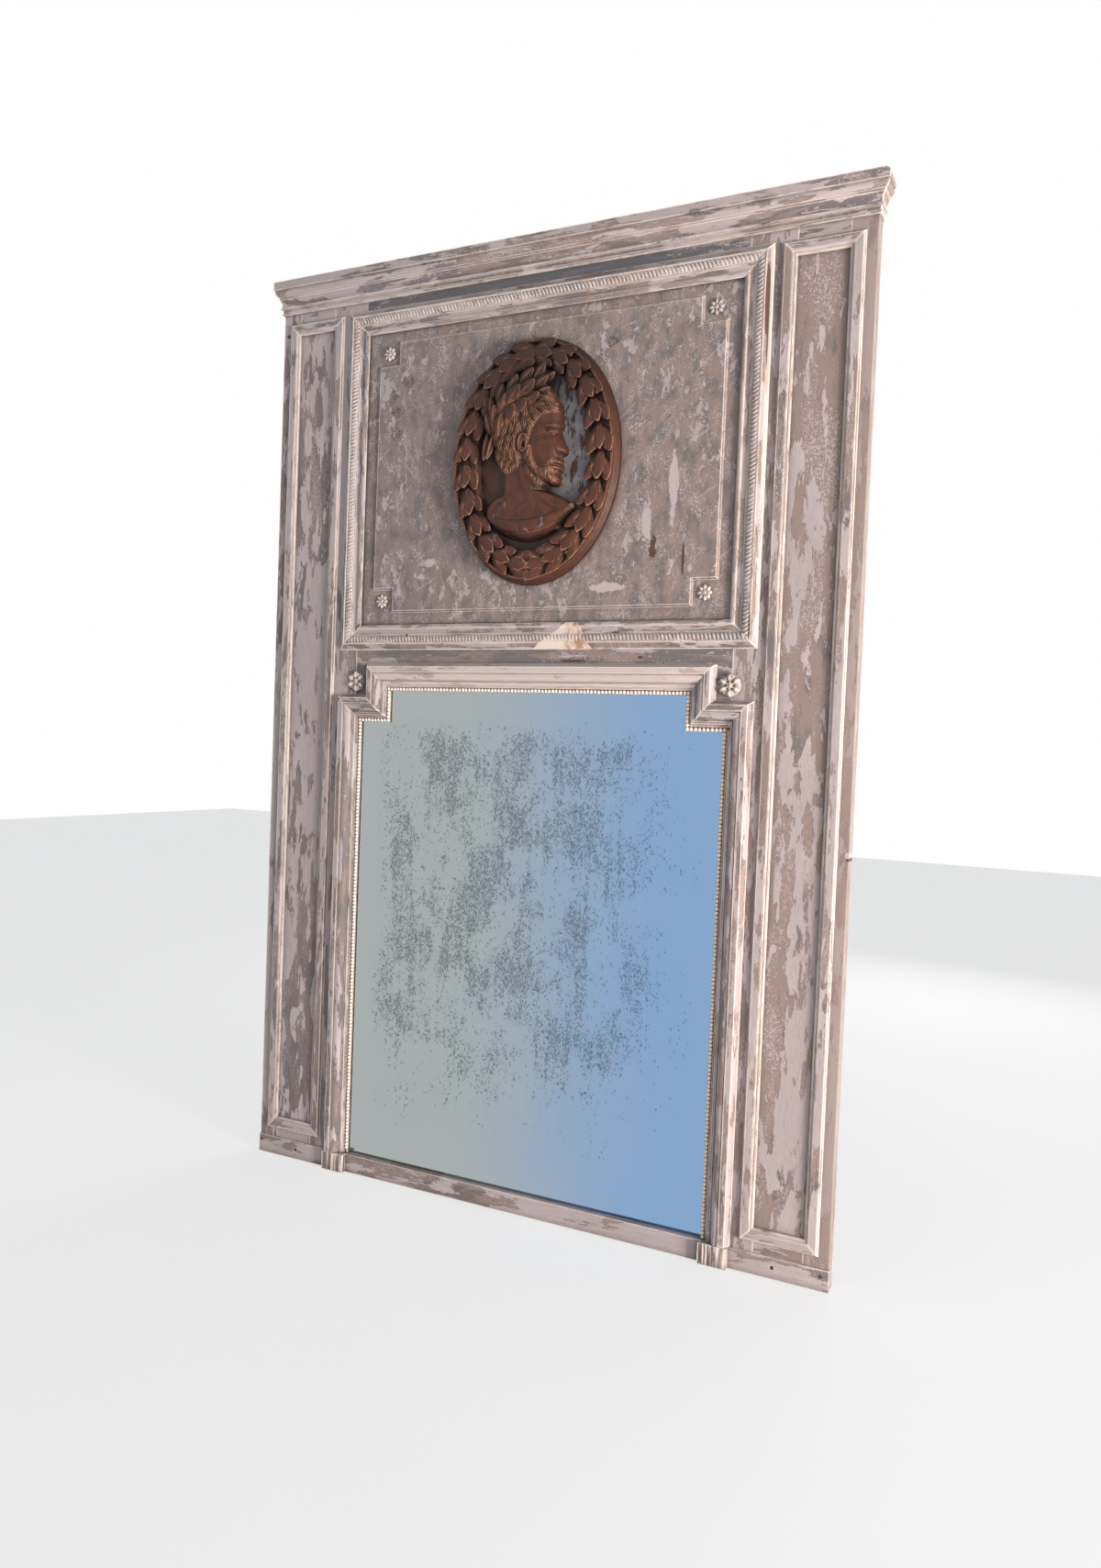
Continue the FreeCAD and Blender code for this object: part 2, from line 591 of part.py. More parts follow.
# ---------------------------------------------------------------- mirror plate and back
def plate_outline(edge_x, top_z, foot_z):
    """The plate's outline: a rectangle with its upper corners clipped under the crossettes."""
    corners = [(edge_x, foot_z), (edge_x, top_z - STEP_Z), (edge_x - STEP_X, top_z)]
    right = [at(x, -LIP_DEPTH, z) for x, z in corners]
    left = [at(-x, -LIP_DEPTH, z) for x, z in reversed(corners)]
    return Part.makePolygon(right + left + right[:1])


def mirror_plate():
    plan = plate_outline(OPEN_X - GLASS_PLAY, OPEN_TOP_Z - GLASS_PLAY, CENTRE_BOTTOM_RAIL_H)
    return Part.Face(plan).extrude(-FORWARD * GLASS_T)


def mirror_blocks():
    """Three-cornered glue blocks that press the plate forward against the frame's lip."""
    back = -LIP_DEPTH - GLASS_T
    rise = CARCASE_T - BACKBOARD_REBATE_D + back - 0.5
    section = [(0, back), (BLOCK_W, back), (0, back - rise)]
    foot, top = CENTRE_BOTTOM_RAIL_H, OPEN_TOP_Z
    blocks = []
    for index in range(BLOCKS_PER_SIDE):
        z = foot + (index + 0.5) * (top - STEP_Z - foot) / BLOCKS_PER_SIDE - BLOCK_L / 2
        shape = moulding(section, at(OPEN_X, 0, z), Z_AXIS, -X_AXIS, FORWARD, BLOCK_L, 0, 0)
        blocks += [shape, mirrored(shape)]
    half = OPEN_X - STEP_X
    for index in range(BLOCKS_PER_END):
        x = -half + (index + 0.5) * 2 * half / BLOCKS_PER_END - BLOCK_L / 2
        blocks.append(moulding(section, at(x, 0, foot), X_AXIS, Z_AXIS, FORWARD, BLOCK_L, 0, 0))
        blocks.append(moulding(section, at(x, 0, top), X_AXIS, -Z_AXIS, FORWARD, BLOCK_L, 0, 0))
    return Part.makeCompound(blocks)


def backboard_edges():
    """Height of each backboard's lower and upper edge."""
    low = CENTRE_BOTTOM_RAIL_H - BACKBOARD_REBATE_W + BACKBOARD_PLAY
    high = OPEN_TOP_Z + BACKBOARD_REBATE_W - BACKBOARD_PLAY
    pitch = (high - low + BACKBOARD_PLAY) / BACKBOARD_COUNT
    return [(low + n * pitch, low + (n + 1) * pitch - BACKBOARD_PLAY) for n in range(BACKBOARD_COUNT)]


def backboard_nail_places():
    """Two nails in each end of each board, down the middle of the rebate."""
    x = OPEN_X + BACKBOARD_REBATE_W / 2
    places = []
    for low, high in backboard_edges():
        fifth = (high - low) / 5
        for z in (low + fifth, high - fifth):
            places += [(x, z), (-x, z)]
    return places


def backboard_nail(x, z, play=0.0):
    """A nail driven forward from the back of a board."""
    return nail(x, BACK_H + BACKBOARD_REBATE_D - BACKBOARD_T, z, BACKBOARD_NAIL_L, 1, play)


def backboards(nodes):
    """Thin boards across the back of the mirror."""
    front = BACK_H + BACKBOARD_REBATE_D
    half = OPEN_X + BACKBOARD_REBATE_W - BACKBOARD_PLAY
    holes = [backboard_nail(x, z, NAIL_PLAY) for x, z in backboard_nail_places()]
    for number, (low, high) in enumerate(backboard_edges(), 1):
        board = block(-half, half, front, front - BACKBOARD_T, low, high)
        nodes["backboard_%d" % number] = board.cut(holes)
    nodes["backboard_nails"] = Part.makeCompound(
        [backboard_nail(x, z) for x, z in backboard_nail_places()])


# ---------------------------------------------------------------- hanging plates
def right_plate_nails(play=0.0):
    """Nails through the right hanging plate, their heads let in flush with the back."""
    return [nail(PLATE_X, BACK_H, z, PLATE_NAIL_L, 1, play)
            for z in (PLATE_Z - PLATE_NAIL_OFF, PLATE_Z + PLATE_NAIL_OFF)]


def hanging_plate():
    """A flat plate let flush into the back of the right inner stile."""
    plate = block(PLATE_X - PLATE_W / 2, PLATE_X + PLATE_W / 2, BACK_H, BACK_H + PLATE_T,
                  PLATE_Z - PLATE_L / 2, PLATE_Z + PLATE_L / 2)
    hole = rod(PLATE_HOLE_R, PLATE_T + 2, PLATE_X, BACK_H + PLATE_T + 1, PLATE_Z)
    return plate.cut([hole] + right_plate_nails(NAIL_PLAY))


def plate_nails():
    right = right_plate_nails()
    return Part.makeCompound(right + [mirrored(shape) for shape in right])


# ---------------------------------------------------------------- ornaments
def petal_outline(radius, petals, h, x, z):
    """A scalloped ring: each petal has a valley, two shoulders and a tip."""
    points = []
    for n in range(petals):
        for part, reach in ((0.0, 0.78), (0.2, 0.95), (0.5, 1.0), (0.8, 0.95)):
            angle = 2 * math.pi * (n + part) / petals
            points.append(at(x + radius * reach * math.sin(angle), h, z + radius * reach * math.cos(angle)))
    return points


def disc_outline(radius, sides, h, x, z):
    turns = [2 * math.pi * n / sides for n in range(sides)]
    return [at(x + radius * math.sin(t), h, z + radius * math.cos(t)) for t in turns]


def rosette(radius, height, petals, x, h, z):
    """A scalloped flower with a domed eye, standing on a surface at height h."""
    levels = [(1.0, 0.0), (0.96, 0.45), (0.45, 0.72)]
    bowl = stack([petal_outline(radius * scale, petals, h + height * rise, x, z)
                  for scale, rise in levels])
    domes = [(0.34, 0.6), (0.30, 0.86), (0.16, 1.0)]
    eye = stack([disc_outline(radius * scale, petals, h + height * rise, x, z)
                 for scale, rise in domes])
    return one_solid(bowl.fuse(eye))


def ellipse(half_w, half_h, h):
    """An upright elliptical wire round the medallion's centre."""
    tall = Part.Ellipse(at(0, h, MEDALLION_Z + half_h), at(half_w, h, MEDALLION_Z), at(0, h, MEDALLION_Z))
    return Part.Wire([tall.toShape()])


def oval(inset, h):
    """The medallion's outline drawn in by an inset, at a height over the ground."""
    return ellipse(MEDALLION_HALF_W - inset, MEDALLION_HALF_H - inset, h)


def medallion_plate():
    """Oval board with a moulded rim, a flat bed for the wreath and a hollow ground."""
    back = FIELD_H
    rim = back + MEDALLION_RIM_H
    bed = back + WREATH_BED_H
    hollow = MEDALLION_RIM_W + WREATH_W
    body = Part.makeLoft([oval(0, back), oval(1.5, back + 7), oval(9, rim - 8), oval(10, rim)], True, True)
    recess = Part.makeLoft([oval(13, rim + 1), oval(MEDALLION_RIM_W, bed)], True, True)
    dish = Part.makeLoft([oval(hollow - 1, bed + 1), oval(hollow + DISH_SLOPE, bed - DISH_DEPTH)], True, True)
    return one_solid(body.cut([recess, dish]))


def leaf(length, width, height):
    """One laurel leaf lying at the origin: tip along +Z, ridge forward, underside flat."""
    half_l, half_w = length / 2, width / 2
    stem, tip = Vector(0, 0, -half_l), Vector(0, 0, half_l)
    shoulder, hip = Vector(half_w * 0.84, 0, half_l * 0.35), Vector(half_w, 0, -half_l * 0.2)
    ridge_low = Vector(0, -height, -half_l * 0.45)
    ridge_high = Vector(0, -height * 0.92, half_l * 0.4)
    facets = [(tip, shoulder, ridge_high), (shoulder, hip, ridge_high),
              (hip, ridge_low, ridge_high), (hip, stem, ridge_low)]
    across = [tuple(Vector(-v.x, v.y, v.z) for v in facet) for facet in facets]
    under = [stem, hip, shoulder, tip, Vector(-shoulder.x, 0, shoulder.z), Vector(-hip.x, 0, hip.z)]
    faces = [Part.Face(Part.makePolygon(list(ring) + [ring[0]])) for ring in facets + across + [under]]
    return Part.Solid(Part.Shell(faces))


def oval_polygon(inset, h, sides):
    """The medallion's outline drawn in by an inset, as a polygon."""
    a, b = MEDALLION_HALF_W - inset, MEDALLION_HALF_H - inset
    turns = [2 * math.pi * (n + 0.5) / sides for n in range(sides)]
    points = [at(a * math.sin(t), h, MEDALLION_Z + b * math.cos(t)) for t in turns]
    return Part.makePolygon(points + points[:1])


def wreath():
    """Two rows of laurel leaves that climb each side of the medallion and meet at its top."""
    bed = FIELD_H + WREATH_BED_H
    middle = MEDALLION_RIM_W + WREATH_W / 2
    a, b = MEDALLION_HALF_W - middle, MEDALLION_HALF_H - middle
    sides = 4 * LEAVES_PER_SIDE
    band = WREATH_W * 0.3
    ring = Part.Face([oval_polygon(middle - band, bed, sides), oval_polygon(middle + band, bed, sides)],
                     "Part::FaceMakerBullseye")
    core = ring.extrude(FORWARD * WREATH_H * 0.4)
    blank = leaf(LEAF_L, LEAF_W, WREATH_H)
    leaves = []
    for index in range(LEAVES_PER_SIDE):
        turn = math.pi * (index + 0.5) / LEAVES_PER_SIDE
        x, z = a * math.sin(turn), -b * math.cos(turn)
        lean = math.degrees(math.atan2(a * math.cos(turn), b * math.sin(turn)))
        normal = Vector(x / a ** 2, 0, z / b ** 2).normalize()
        for row in (-1, 1):
            piece = blank.copy()
            piece.rotate(Vector(0, 0, 0), Vector(0, 1, 0), lean + row * LEAF_SPLAY)
            piece.translate(at(x, bed, MEDALLION_Z + z) + normal * row * WREATH_W * 0.2)
            leaves += [piece, mirrored(piece)]
    return one_solid(core.fuse(leaves))


def relief(points, centre, levels):
    """A carved mass: an outline drawn in towards its centre, level by level, as it rises.

    Points are (x, z) from the middle of the medallion; a level is (scale, height).
    """
    rings = []
    for scale, h in levels:
        rings.append([at(centre[0] + (x - centre[0]) * scale, h,
                         MEDALLION_Z + centre[1] + (z - centre[1]) * scale) for x, z in points])
    return stack(rings)


def egg(centre, half_w, half_h, tilt, sides):
    """Points round a tilted oval."""
    lean = math.radians(tilt)
    points = []
    for n in range(sides):
        turn = 2 * math.pi * n / sides
        u, v = half_w * math.cos(turn), half_h * math.sin(turn)
        points.append((centre[0] + u * math.cos(lean) - v * math.sin(lean),
                       centre[1] + u * math.sin(lean) + v * math.cos(lean)))
    return points


FACE = [
    # forward of the forehead and above the nose's base, in thirds of the face
    (-0.12, 2.0), (0.0, 1.55), (0.02, 1.08), (-0.08, 0.9), (0.24, 0.22), (0.22, 0.08), (0.04, 0.0),
    (0.08, -0.2), (0.02, -0.3), (0.05, -0.42), (-0.04, -0.56), (0.0, -0.8), (-0.14, -1.0),
    (-0.75, -0.86), (-1.35, -0.35), (-1.6, 0.6), (-1.2, 2.1),
]
NECK = [(-0.6, -0.8), (-0.8, -1.4), (-0.55, -2.1), (-1.3, -2.5), (-2.3, -2.1), (-2.5, -1.1), (-2.3, 0.1),
        (-1.2, 0.2)]
SKULL = (-1.46, 1.25, 1.36, 1.55)     # centre forward and up, half depth, half height
EAR = (-1.42, 0.5, 0.17, 0.32)


def thirds(points):
    """Points given in thirds of the face, in millimetres from the medallion's middle."""
    return [(HEAD_FRONT + x * HEAD_THIRD, z * HEAD_THIRD) for x, z in points]


def robe_outline(steps):
    """A lens between two shallow curves, with its tips at the shoulders."""
    points = []
    for n in range(steps):
        share = n / steps
        points.append((ROBE_HALF_W * (1 - 2 * share), ROBE_Z - ROBE_DROP * 4 * share * (1 - share)))
    for n in range(steps):
        share = n / steps
        points.append((-ROBE_HALF_W * (1 - 2 * share), ROBE_Z + ROBE_DROP * share * (1 - share)))
    return points


def crown_leaves(centre, half_w, half_h, h):
    """Laurel leaves laid round the head from the nape to the brow."""
    blank = leaf(CROWN_LEAF_L, CROWN_LEAF_W, CROWN_LEAF_H)
    leaves = []
    for n in range(CROWN_LEAVES):
        turn = math.radians(-78 + 132 * n / (CROWN_LEAVES - 1))
        x = centre[0] + half_w * 0.86 * math.sin(turn)
        z = centre[1] + half_h * 0.86 * math.cos(turn)
        piece = blank.copy()
        piece.rotate(Vector(0, 0, 0), Vector(0, 1, 0), math.degrees(turn) + 58)
        piece.translate(at(x, h, MEDALLION_Z + z))
        leaves.append(piece)
    return leaves


def bust():
    """Head in profile to the right, crowned with laurel, over a neck and a draped shoulder."""
    ground = FIELD_H + WREATH_BED_H - DISH_DEPTH
    rise = FRONT_REACH - ground
    high = [(1.0, ground), (0.97, ground + rise * 0.45), (0.86, ground + rise * 0.78),
            (0.66, ground + rise * 0.94), (0.45, FRONT_REACH)]
    low = [(1.0, ground), (0.95, ground + rise * 0.4), (0.78, ground + rise * 0.66), (0.5, ground + rise * 0.74)]
    face_centre, neck_centre = thirds([(-0.9, 0.45), (-1.5, -1.2)])
    skull_x, skull_z, half_w, half_h = SKULL
    skull_centre = thirds([(skull_x, skull_z)])[0]
    ear_x, ear_z, ear_w, ear_h = EAR
    ear_centre = thirds([(ear_x, ear_z)])[0]
    third = HEAD_THIRD
    skull = egg(skull_centre, half_w * third, half_h * third, 0, 24)
    ear = egg(ear_centre, ear_w * third, ear_h * third, 12, 10)
    ear_levels = [(1.0, ground + rise * 0.6), (0.85, ground + rise * 0.97)]
    parts = [relief(skull, skull_centre, high), relief(thirds(NECK), neck_centre, low),
             relief(robe_outline(8), (0, ROBE_Z - ROBE_DROP * 0.35), low), relief(ear, ear_centre, ear_levels)]
    parts += crown_leaves(skull_centre, half_w * third, half_h * third, ground + rise * 0.5)
    return one_solid(relief(thirds(FACE), face_centre, high).fuse(parts))


def ornaments(nodes):
    """The medallion's three layers, the round rosettes and the corner rosettes."""
    nodes["medallion_plate"] = medallion_plate()
    nodes["laurel_wreath"] = wreath()
    nodes["bust_relief"] = bust()
    ear_x = UPPER_SIGHT_X + FRAME_W + ROSETTE_OFF + ROUND_ROSETTE_R
    ear_z = STEP_SIGHT_Z + FRAME_W + ROSETTE_OFF + ROUND_ROSETTE_R
    pair(nodes, "round_rosette", rosette(
        ROUND_ROSETTE_R, ROUND_ROSETTE_H, ROUND_PETALS, ear_x, 0, ear_z))
    notch_x = FIELD_X - NOTCH / 2
    for name, z in (("upper", FIELD_TOP - NOTCH / 2), ("lower", FIELD_BOTTOM + NOTCH / 2)):
        pair(nodes, "corner_rosette_" + name, rosette(
            CORNER_ROSETTE_R, CORNER_ROSETTE_H, CORNER_PETALS, notch_x, -PANEL_FRONT, z))


# ---------------------------------------------------------------- the whole object
def build():
    nodes = {}
    pair(nodes, "outer_stile", outer_stile())
    pair(nodes, "inner_stile", inner_stile())
    pair(nodes, "side_top_rail", side_top_rail())
    pair(nodes, "side_bottom_rail", side_bottom_rail())
    nodes["centre_top_rail"] = centre_top_rail()
    nodes["mid_rail"] = mid_rail()
    nodes["centre_bottom_rail"] = centre_bottom_rail()
    nodes["base_board"] = base_board()
    pair(nodes, "plinth_block", plinth_block())
    nodes["base_nails"] = base_nails()
    pair(nodes, "side_panel", side_panel())
    nodes["picture_panel"] = picture_panel()
    pilaster_frames(nodes)
    picture_frame(nodes)
    mirror_frame(nodes)
    cornice(nodes)
    nodes["mirror_plate"] = mirror_plate()
    nodes["mirror_blocks"] = mirror_blocks()
    backboards(nodes)
    pair(nodes, "hanging_plate", hanging_plate())
    nodes["plate_nails"] = plate_nails()
    ornaments(nodes)
    return nodes


def save(nodes):
    os.makedirs("parts", exist_ok=True)
    for name, shape in nodes.items():
        shape.exportStep(os.path.join("parts", name + ".step"))
        print("%-34s solids %2d  valid %s" % (name, len(shape.Solids), shape.isValid()))


save(build())
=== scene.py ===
"""Looks of a painted trumeau mirror: worn paint, carved medallion, pearls, foxed glass and its stage.

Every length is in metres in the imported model's own frame: X to the right, the face along -Y, Z up.
A height h is measured forward from the face of the carcase.
"""
import math
import random

import bmesh
import bpy
import numpy as np
from mathutils import Matrix, Vector, noise


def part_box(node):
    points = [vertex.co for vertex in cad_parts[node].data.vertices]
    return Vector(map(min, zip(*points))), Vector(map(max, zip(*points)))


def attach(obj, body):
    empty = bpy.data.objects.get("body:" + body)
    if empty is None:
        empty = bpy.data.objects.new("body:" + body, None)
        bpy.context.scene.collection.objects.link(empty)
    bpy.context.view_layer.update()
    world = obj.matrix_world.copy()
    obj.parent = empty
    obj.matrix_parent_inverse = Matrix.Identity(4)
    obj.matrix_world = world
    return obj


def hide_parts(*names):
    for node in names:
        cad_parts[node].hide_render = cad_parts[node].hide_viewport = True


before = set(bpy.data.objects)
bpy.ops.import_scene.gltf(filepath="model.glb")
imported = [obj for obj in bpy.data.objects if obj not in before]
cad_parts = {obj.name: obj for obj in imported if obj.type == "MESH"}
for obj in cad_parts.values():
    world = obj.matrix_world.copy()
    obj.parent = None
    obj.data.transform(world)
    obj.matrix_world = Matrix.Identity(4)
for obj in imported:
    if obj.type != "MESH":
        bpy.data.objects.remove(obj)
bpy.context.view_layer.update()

bl_info = {
    "name": "Trumeau mirror",
    "version": (1, 0, 0),
    "blender": (4, 5, 0),
    "location": "View3D > Sidebar > Trumeau",
    "description": "Dresses a packed trumeau mirror with worn paint, carving, pearls and old glass",
    "category": "Object",
}

MM = 0.001
BODY = "root"
SIDES = ("left", "right")

# ---------------------------------------------------------------- places read from the frame
FACE_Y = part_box("outer_stile_right")[0].y
SIGHT_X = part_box("mirror_frame_upright_right")[0].x
UPPER_SIGHT_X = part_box("mirror_frame_ear_upright_right")[0].x
STEP_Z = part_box("mirror_frame_ear_right")[0].z
SIGHT_TOP_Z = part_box("mirror_frame_top")[0].z
FRAME_FOOT_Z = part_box("mirror_frame_upright_right")[0].z
PICTURE_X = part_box("picture_frame_side_right")[0].x
PICTURE_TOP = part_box("picture_frame_top")[0].z
PICTURE_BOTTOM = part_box("picture_frame_bottom")[1].z
MEDAL_LOW, MEDAL_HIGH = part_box("medallion_plate")
MEDAL_Z = (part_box("bust_relief")[0].z + 168 * MM)
WREATH_LOW, WREATH_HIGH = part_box("laurel_wreath")
BUST_LOW, BUST_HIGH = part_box("bust_relief")


# ---------------------------------------------------------------- settings
def colour(name, description, r, g, b):
    """A colour property; the default is given as it looks on a screen, 0 to 255."""
    default = tuple(to_linear(v / 255) for v in (r, g, b))
    return bpy.props.FloatVectorProperty(name=name, description=description, subtype="COLOR",
                                         size=3, min=0, max=1, default=default)


def to_linear(value):
    return value / 12.92 if value <= 0.04045 else ((value + 0.055) / 1.055) ** 2.4


class TrumeauPaint(bpy.types.PropertyGroup):
    """Colours and wear of the layered paint."""
    top_coat: colour("Top coat", "Pale grey-mauve paint that is left in flakes", 182, 171, 172)
    under_coat: colour("Undercoat", "Taupe paint under the flakes", 140, 124, 118)
    # Grey weathered paint, also used as painted shade that darkens the left side.
    grey_coat_and_shade: colour("Grey coat", "Dark grey weathered paint", 112, 105, 106)
    # Cream-pink for ground rubbed bare, also used as painted highlight along arrises and on the lit slope of the
    # right mouldings.
    chalk_and_highlight: colour("Chalk", "Cream-pink ground rubbed bare on arrises", 246, 231, 220)
    wood: colour("Bare wood", "Red-brown wood in chips and cracks", 74, 46, 36)
    # Grime and dark grain streaks, also used as painted shade in corners, along flake edges and beside the right
    # mouldings' slope.
    dirt_and_shade: colour("Dirt", "Grime in corners", 66, 58, 58)
    timber: colour("Back timber", "Unpainted oxidised wood of the back", 142, 108, 80)
    # Painted shade: a blue-grey shadow band under the cornice and a thin shadow line below it on the right, not
    # grime.
    shade: colour("Shade", "Blue-grey grime under the cornice", 84, 86, 92)
    stain: colour("Stain", "Brown run below the medallion", 168, 122, 96)
    flake_scale: bpy.props.FloatProperty(name="Flake scale", description="Flakes to a metre across the grain",
                                         default=34.0, min=1.0, max=80.0)


class TrumeauCarving(bpy.types.PropertyGroup):
    """Colours and sizes of the carved ornament."""
    # Dark grain, also used as painted shade in the carving's recesses and toward its top.
    wood_dark_and_shade: colour("Carved wood, dark", "Recesses of the medallion", 22, 11, 9)
    wood_mid: colour("Carved wood", "Body of the medallion", 84, 47, 34)
    # Rubbed wood, also used as painted highlight along the carving's arrises.
    wood_rubbed_and_highlight: colour("Carved wood, worn", "Rubbed high places of the medallion", 182, 128, 100)
    blue_grey: colour("Old blue-grey paint", "Paint left behind the bust", 128, 132, 138)
    leaf_stations: bpy.props.IntProperty(name="Leaf stations", description="Groups of leaves up each side",
                                         default=12, min=4, max=30)
    leaf_length: bpy.props.FloatProperty(name="Leaf length", description="Stem to tip of a wreath leaf",
                                         unit="LENGTH", default=58 * MM, min=0.01, max=0.1)
    leaf_width: bpy.props.FloatProperty(name="Leaf width", description="Widest part of a wreath leaf",
                                        unit="LENGTH", default=29 * MM, min=0.005, max=0.05)
    head_third: bpy.props.FloatProperty(name="Third of the face", description="Hairline to brow, and so on",
                                        unit="LENGTH", default=56 * MM, min=0.02, max=0.1)


class TrumeauTrim(bpy.types.PropertyGroup):
    """Sizes of the small repeated ornament."""
    pearl_diameter: bpy.props.FloatProperty(name="Pearl diameter", description="Pearls round the mirror",
                                            unit="LENGTH", default=7.7 * MM, min=0.001, max=0.02)
    pearl_pitch: bpy.props.FloatProperty(name="Pearl pitch", description="Centre to centre",
                                         unit="LENGTH", default=7.9 * MM, min=0.001, max=0.03)
    corner_radius: bpy.props.FloatProperty(name="Worn corner", description="Radius of the cornice's worn corner",
                                           unit="LENGTH", default=12 * MM, min=0.001, max=0.03)
    ribbon_pitch: bpy.props.FloatProperty(name="Ribbon pitch", description="Turns of the carved ribbon",
                                          unit="LENGTH", default=8.0 * MM, min=0.002, max=0.03)


class TrumeauGlass(bpy.types.PropertyGroup):
    """Colours of the old mirror."""
    silver_left: colour("Silver, left", "Grey-green silvering", 168, 175, 174)
    silver_right: colour("Silver, right", "Blue silvering", 134, 166, 204)
    foxing: colour("Foxing", "Dark specks where the silver has gone", 66, 78, 92)


class TrumeauStage(bpy.types.PropertyGroup):
    """Floor, lights and camera."""
    floor: colour("Floor", "Plain pale floor", 240, 240, 240)
    fill: bpy.props.FloatProperty(name="Fill", description="Strength of the soft light all round",
                                  default=0.44, min=0, max=5)
    key: bpy.props.FloatProperty(name="Key", description="Power of the key light", unit="POWER",
                                 default=330.0, min=0, max=2000)
    lens: bpy.props.FloatProperty(name="Lens", description="Focal length", unit="CAMERA",
                                  default=25.38, min=5, max=200)


# ---------------------------------------------------------------- materials
class Nodes:
    """Short calls for building a procedural material."""

    def __init__(self, name):
        self.material = bpy.data.materials.new(name)
        self.material.use_nodes = True
        self.tree = self.material.node_tree
        self.shader = self.tree.nodes["Principled BSDF"]
        self.place = self.new("ShaderNodeTexCoord").outputs["Object"]

    def new(self, kind, **settings):
        node = self.tree.nodes.new(kind)
        for key, value in settings.items():
            setattr(node, key, value)
        return node

    def feed(self, socket, value):
        """Links a socket, or sets a constant."""
        if isinstance(value, bpy.types.NodeSocket):
            self.tree.links.new(value, socket)
        elif socket.type == "RGBA" and len(value) == 3:
            socket.default_value = (*value, 1)
        else:
            socket.default_value = value

    def scaled(self, scale, offset=(0, 0, 0), inner=None):
        """The place on the object, turned first where asked, then stretched and moved."""
        place = self.place
        if inner:
            turned = self.new("ShaderNodeMapping")
            self.feed(turned.inputs["Vector"], place)
            turned.inputs["Rotation"].default_value = inner
            place = turned.outputs["Vector"]
        node = self.new("ShaderNodeMapping")
        self.feed(node.inputs["Vector"], place)
        node.inputs["Scale"].default_value = scale
        node.inputs["Location"].default_value = offset
        return node.outputs["Vector"]

    def noise(self, vector, scale=1.0, detail=4.0, rough=0.5, bend=0.0, output="Fac"):
        node = self.new("ShaderNodeTexNoise")
        self.feed(node.inputs["Vector"], vector)
        node.inputs["Scale"].default_value = scale
        node.inputs["Detail"].default_value = detail
        node.inputs["Roughness"].default_value = rough
        node.inputs["Distortion"].default_value = bend
        return node.outputs[output]

    def cells(self, vector, scale, feature="DISTANCE_TO_EDGE"):
        node = self.new("ShaderNodeTexVoronoi", feature=feature)
        self.feed(node.inputs["Vector"], vector)
        node.inputs["Scale"].default_value = scale
        return node.outputs["Distance"]

    def sum(self, operation, first, second=0.0, clamp=False):
        node = self.new("ShaderNodeMath", operation=operation, use_clamp=clamp)
        self.feed(node.inputs[0], first)
        self.feed(node.inputs[1], second)
        return node.outputs[0]

    def step(self, value, low, high, out_low=0.0, out_high=1.0):
        """Smooth climb from low to high."""
        node = self.new("ShaderNodeMapRange", interpolation_type="SMOOTHSTEP")
        self.feed(node.inputs["Value"], value)
        node.inputs["From Min"].default_value = low
        node.inputs["From Max"].default_value = high
        node.inputs["To Min"].default_value = out_low
        node.inputs["To Max"].default_value = out_high
        return node.outputs["Result"]

    def mix(self, share, first, second, blend="MIX"):
        node = self.new("ShaderNodeMix", data_type="RGBA", blend_type=blend)
        self.feed(node.inputs[0], share)
        self.feed(node.inputs[6], first)
        self.feed(node.inputs[7], second)
        return node.outputs[2]

    def axis(self, which):
        node = self.new("ShaderNodeSeparateXYZ")
        self.feed(node.inputs[0], self.place)
        return node.outputs[which]

    def spot(self, x, z, half_w, half_h, ragged=None):
        """1 inside an upright oval at a place, with a ragged edge."""
        move = self.new("ShaderNodeMapping")
        self.feed(move.inputs["Vector"], self.place)
        move.inputs["Location"].default_value = (-x / half_w, 0, -z / half_h)
        move.inputs["Scale"].default_value = (1 / half_w, 0, 1 / half_h)
        far = self.new("ShaderNodeVectorMath", operation="LENGTH")
        self.feed(far.inputs[0], move.outputs[0])
        reach = far.outputs["Value"]
        if ragged is not None:
            reach = self.sum("ADD", reach, self.sum("MULTIPLY", self.sum("SUBTRACT", ragged, 0.5), 3.2))
        return self.step(reach, 1.0, 0.88)

    def behind(self):
        """1 on faces that look at the wall."""
        side = self.new("ShaderNodeSeparateXYZ")
        self.feed(side.inputs[0], self.new("ShaderNodeTexCoord").outputs["Normal"])
        return self.step(side.outputs["Y"], 0.55, 0.75)

    def repair(self, base, settings):
        """Pale wedge of filler under the medallion, with a brown stain run down its right half."""
        x, z = self.axis("X"), self.axis("Z")
        rise = self.sum("SUBTRACT", 1.240, z)
        left = self.sum("SUBTRACT", self.sum("ADD", x, -0.100), self.sum("MULTIPLY", rise, -1.38))
        right = self.sum("SUBTRACT", self.sum("MULTIPLY", rise, 0.62), self.sum("ADD", x, -0.100))
        wedge = self.sum("MULTIPLY", self.step(left, -0.001, 0.001), self.step(right, -0.001, 0.001))
        wedge = self.sum("MULTIPLY", wedge, self.step(z, 1.172, 1.174))
        cloud = self.noise(self.scaled((1, 1, 0.4)), 60, 4, 0.65)
        stain = self.sum("MULTIPLY", self.step(x, 0.074, 0.100), self.step(cloud, 0.30, 0.62))
        filler = self.mix(stain, [v * 0.86 for v in settings.chalk_and_highlight], settings.stain)
        base = self.mix(self.sum("MULTIPLY", wedge, 0.85), base, filler)
        run = self.sum("MULTIPLY", self.step(x, 0.122, 0.104), self.step(x, 0.082, 0.096))
        return self.mix(self.sum("MULTIPLY", self.sum("MULTIPLY", run, self.step(cloud, 0.4, 0.6)), 0.6),
                        base, settings.stain)

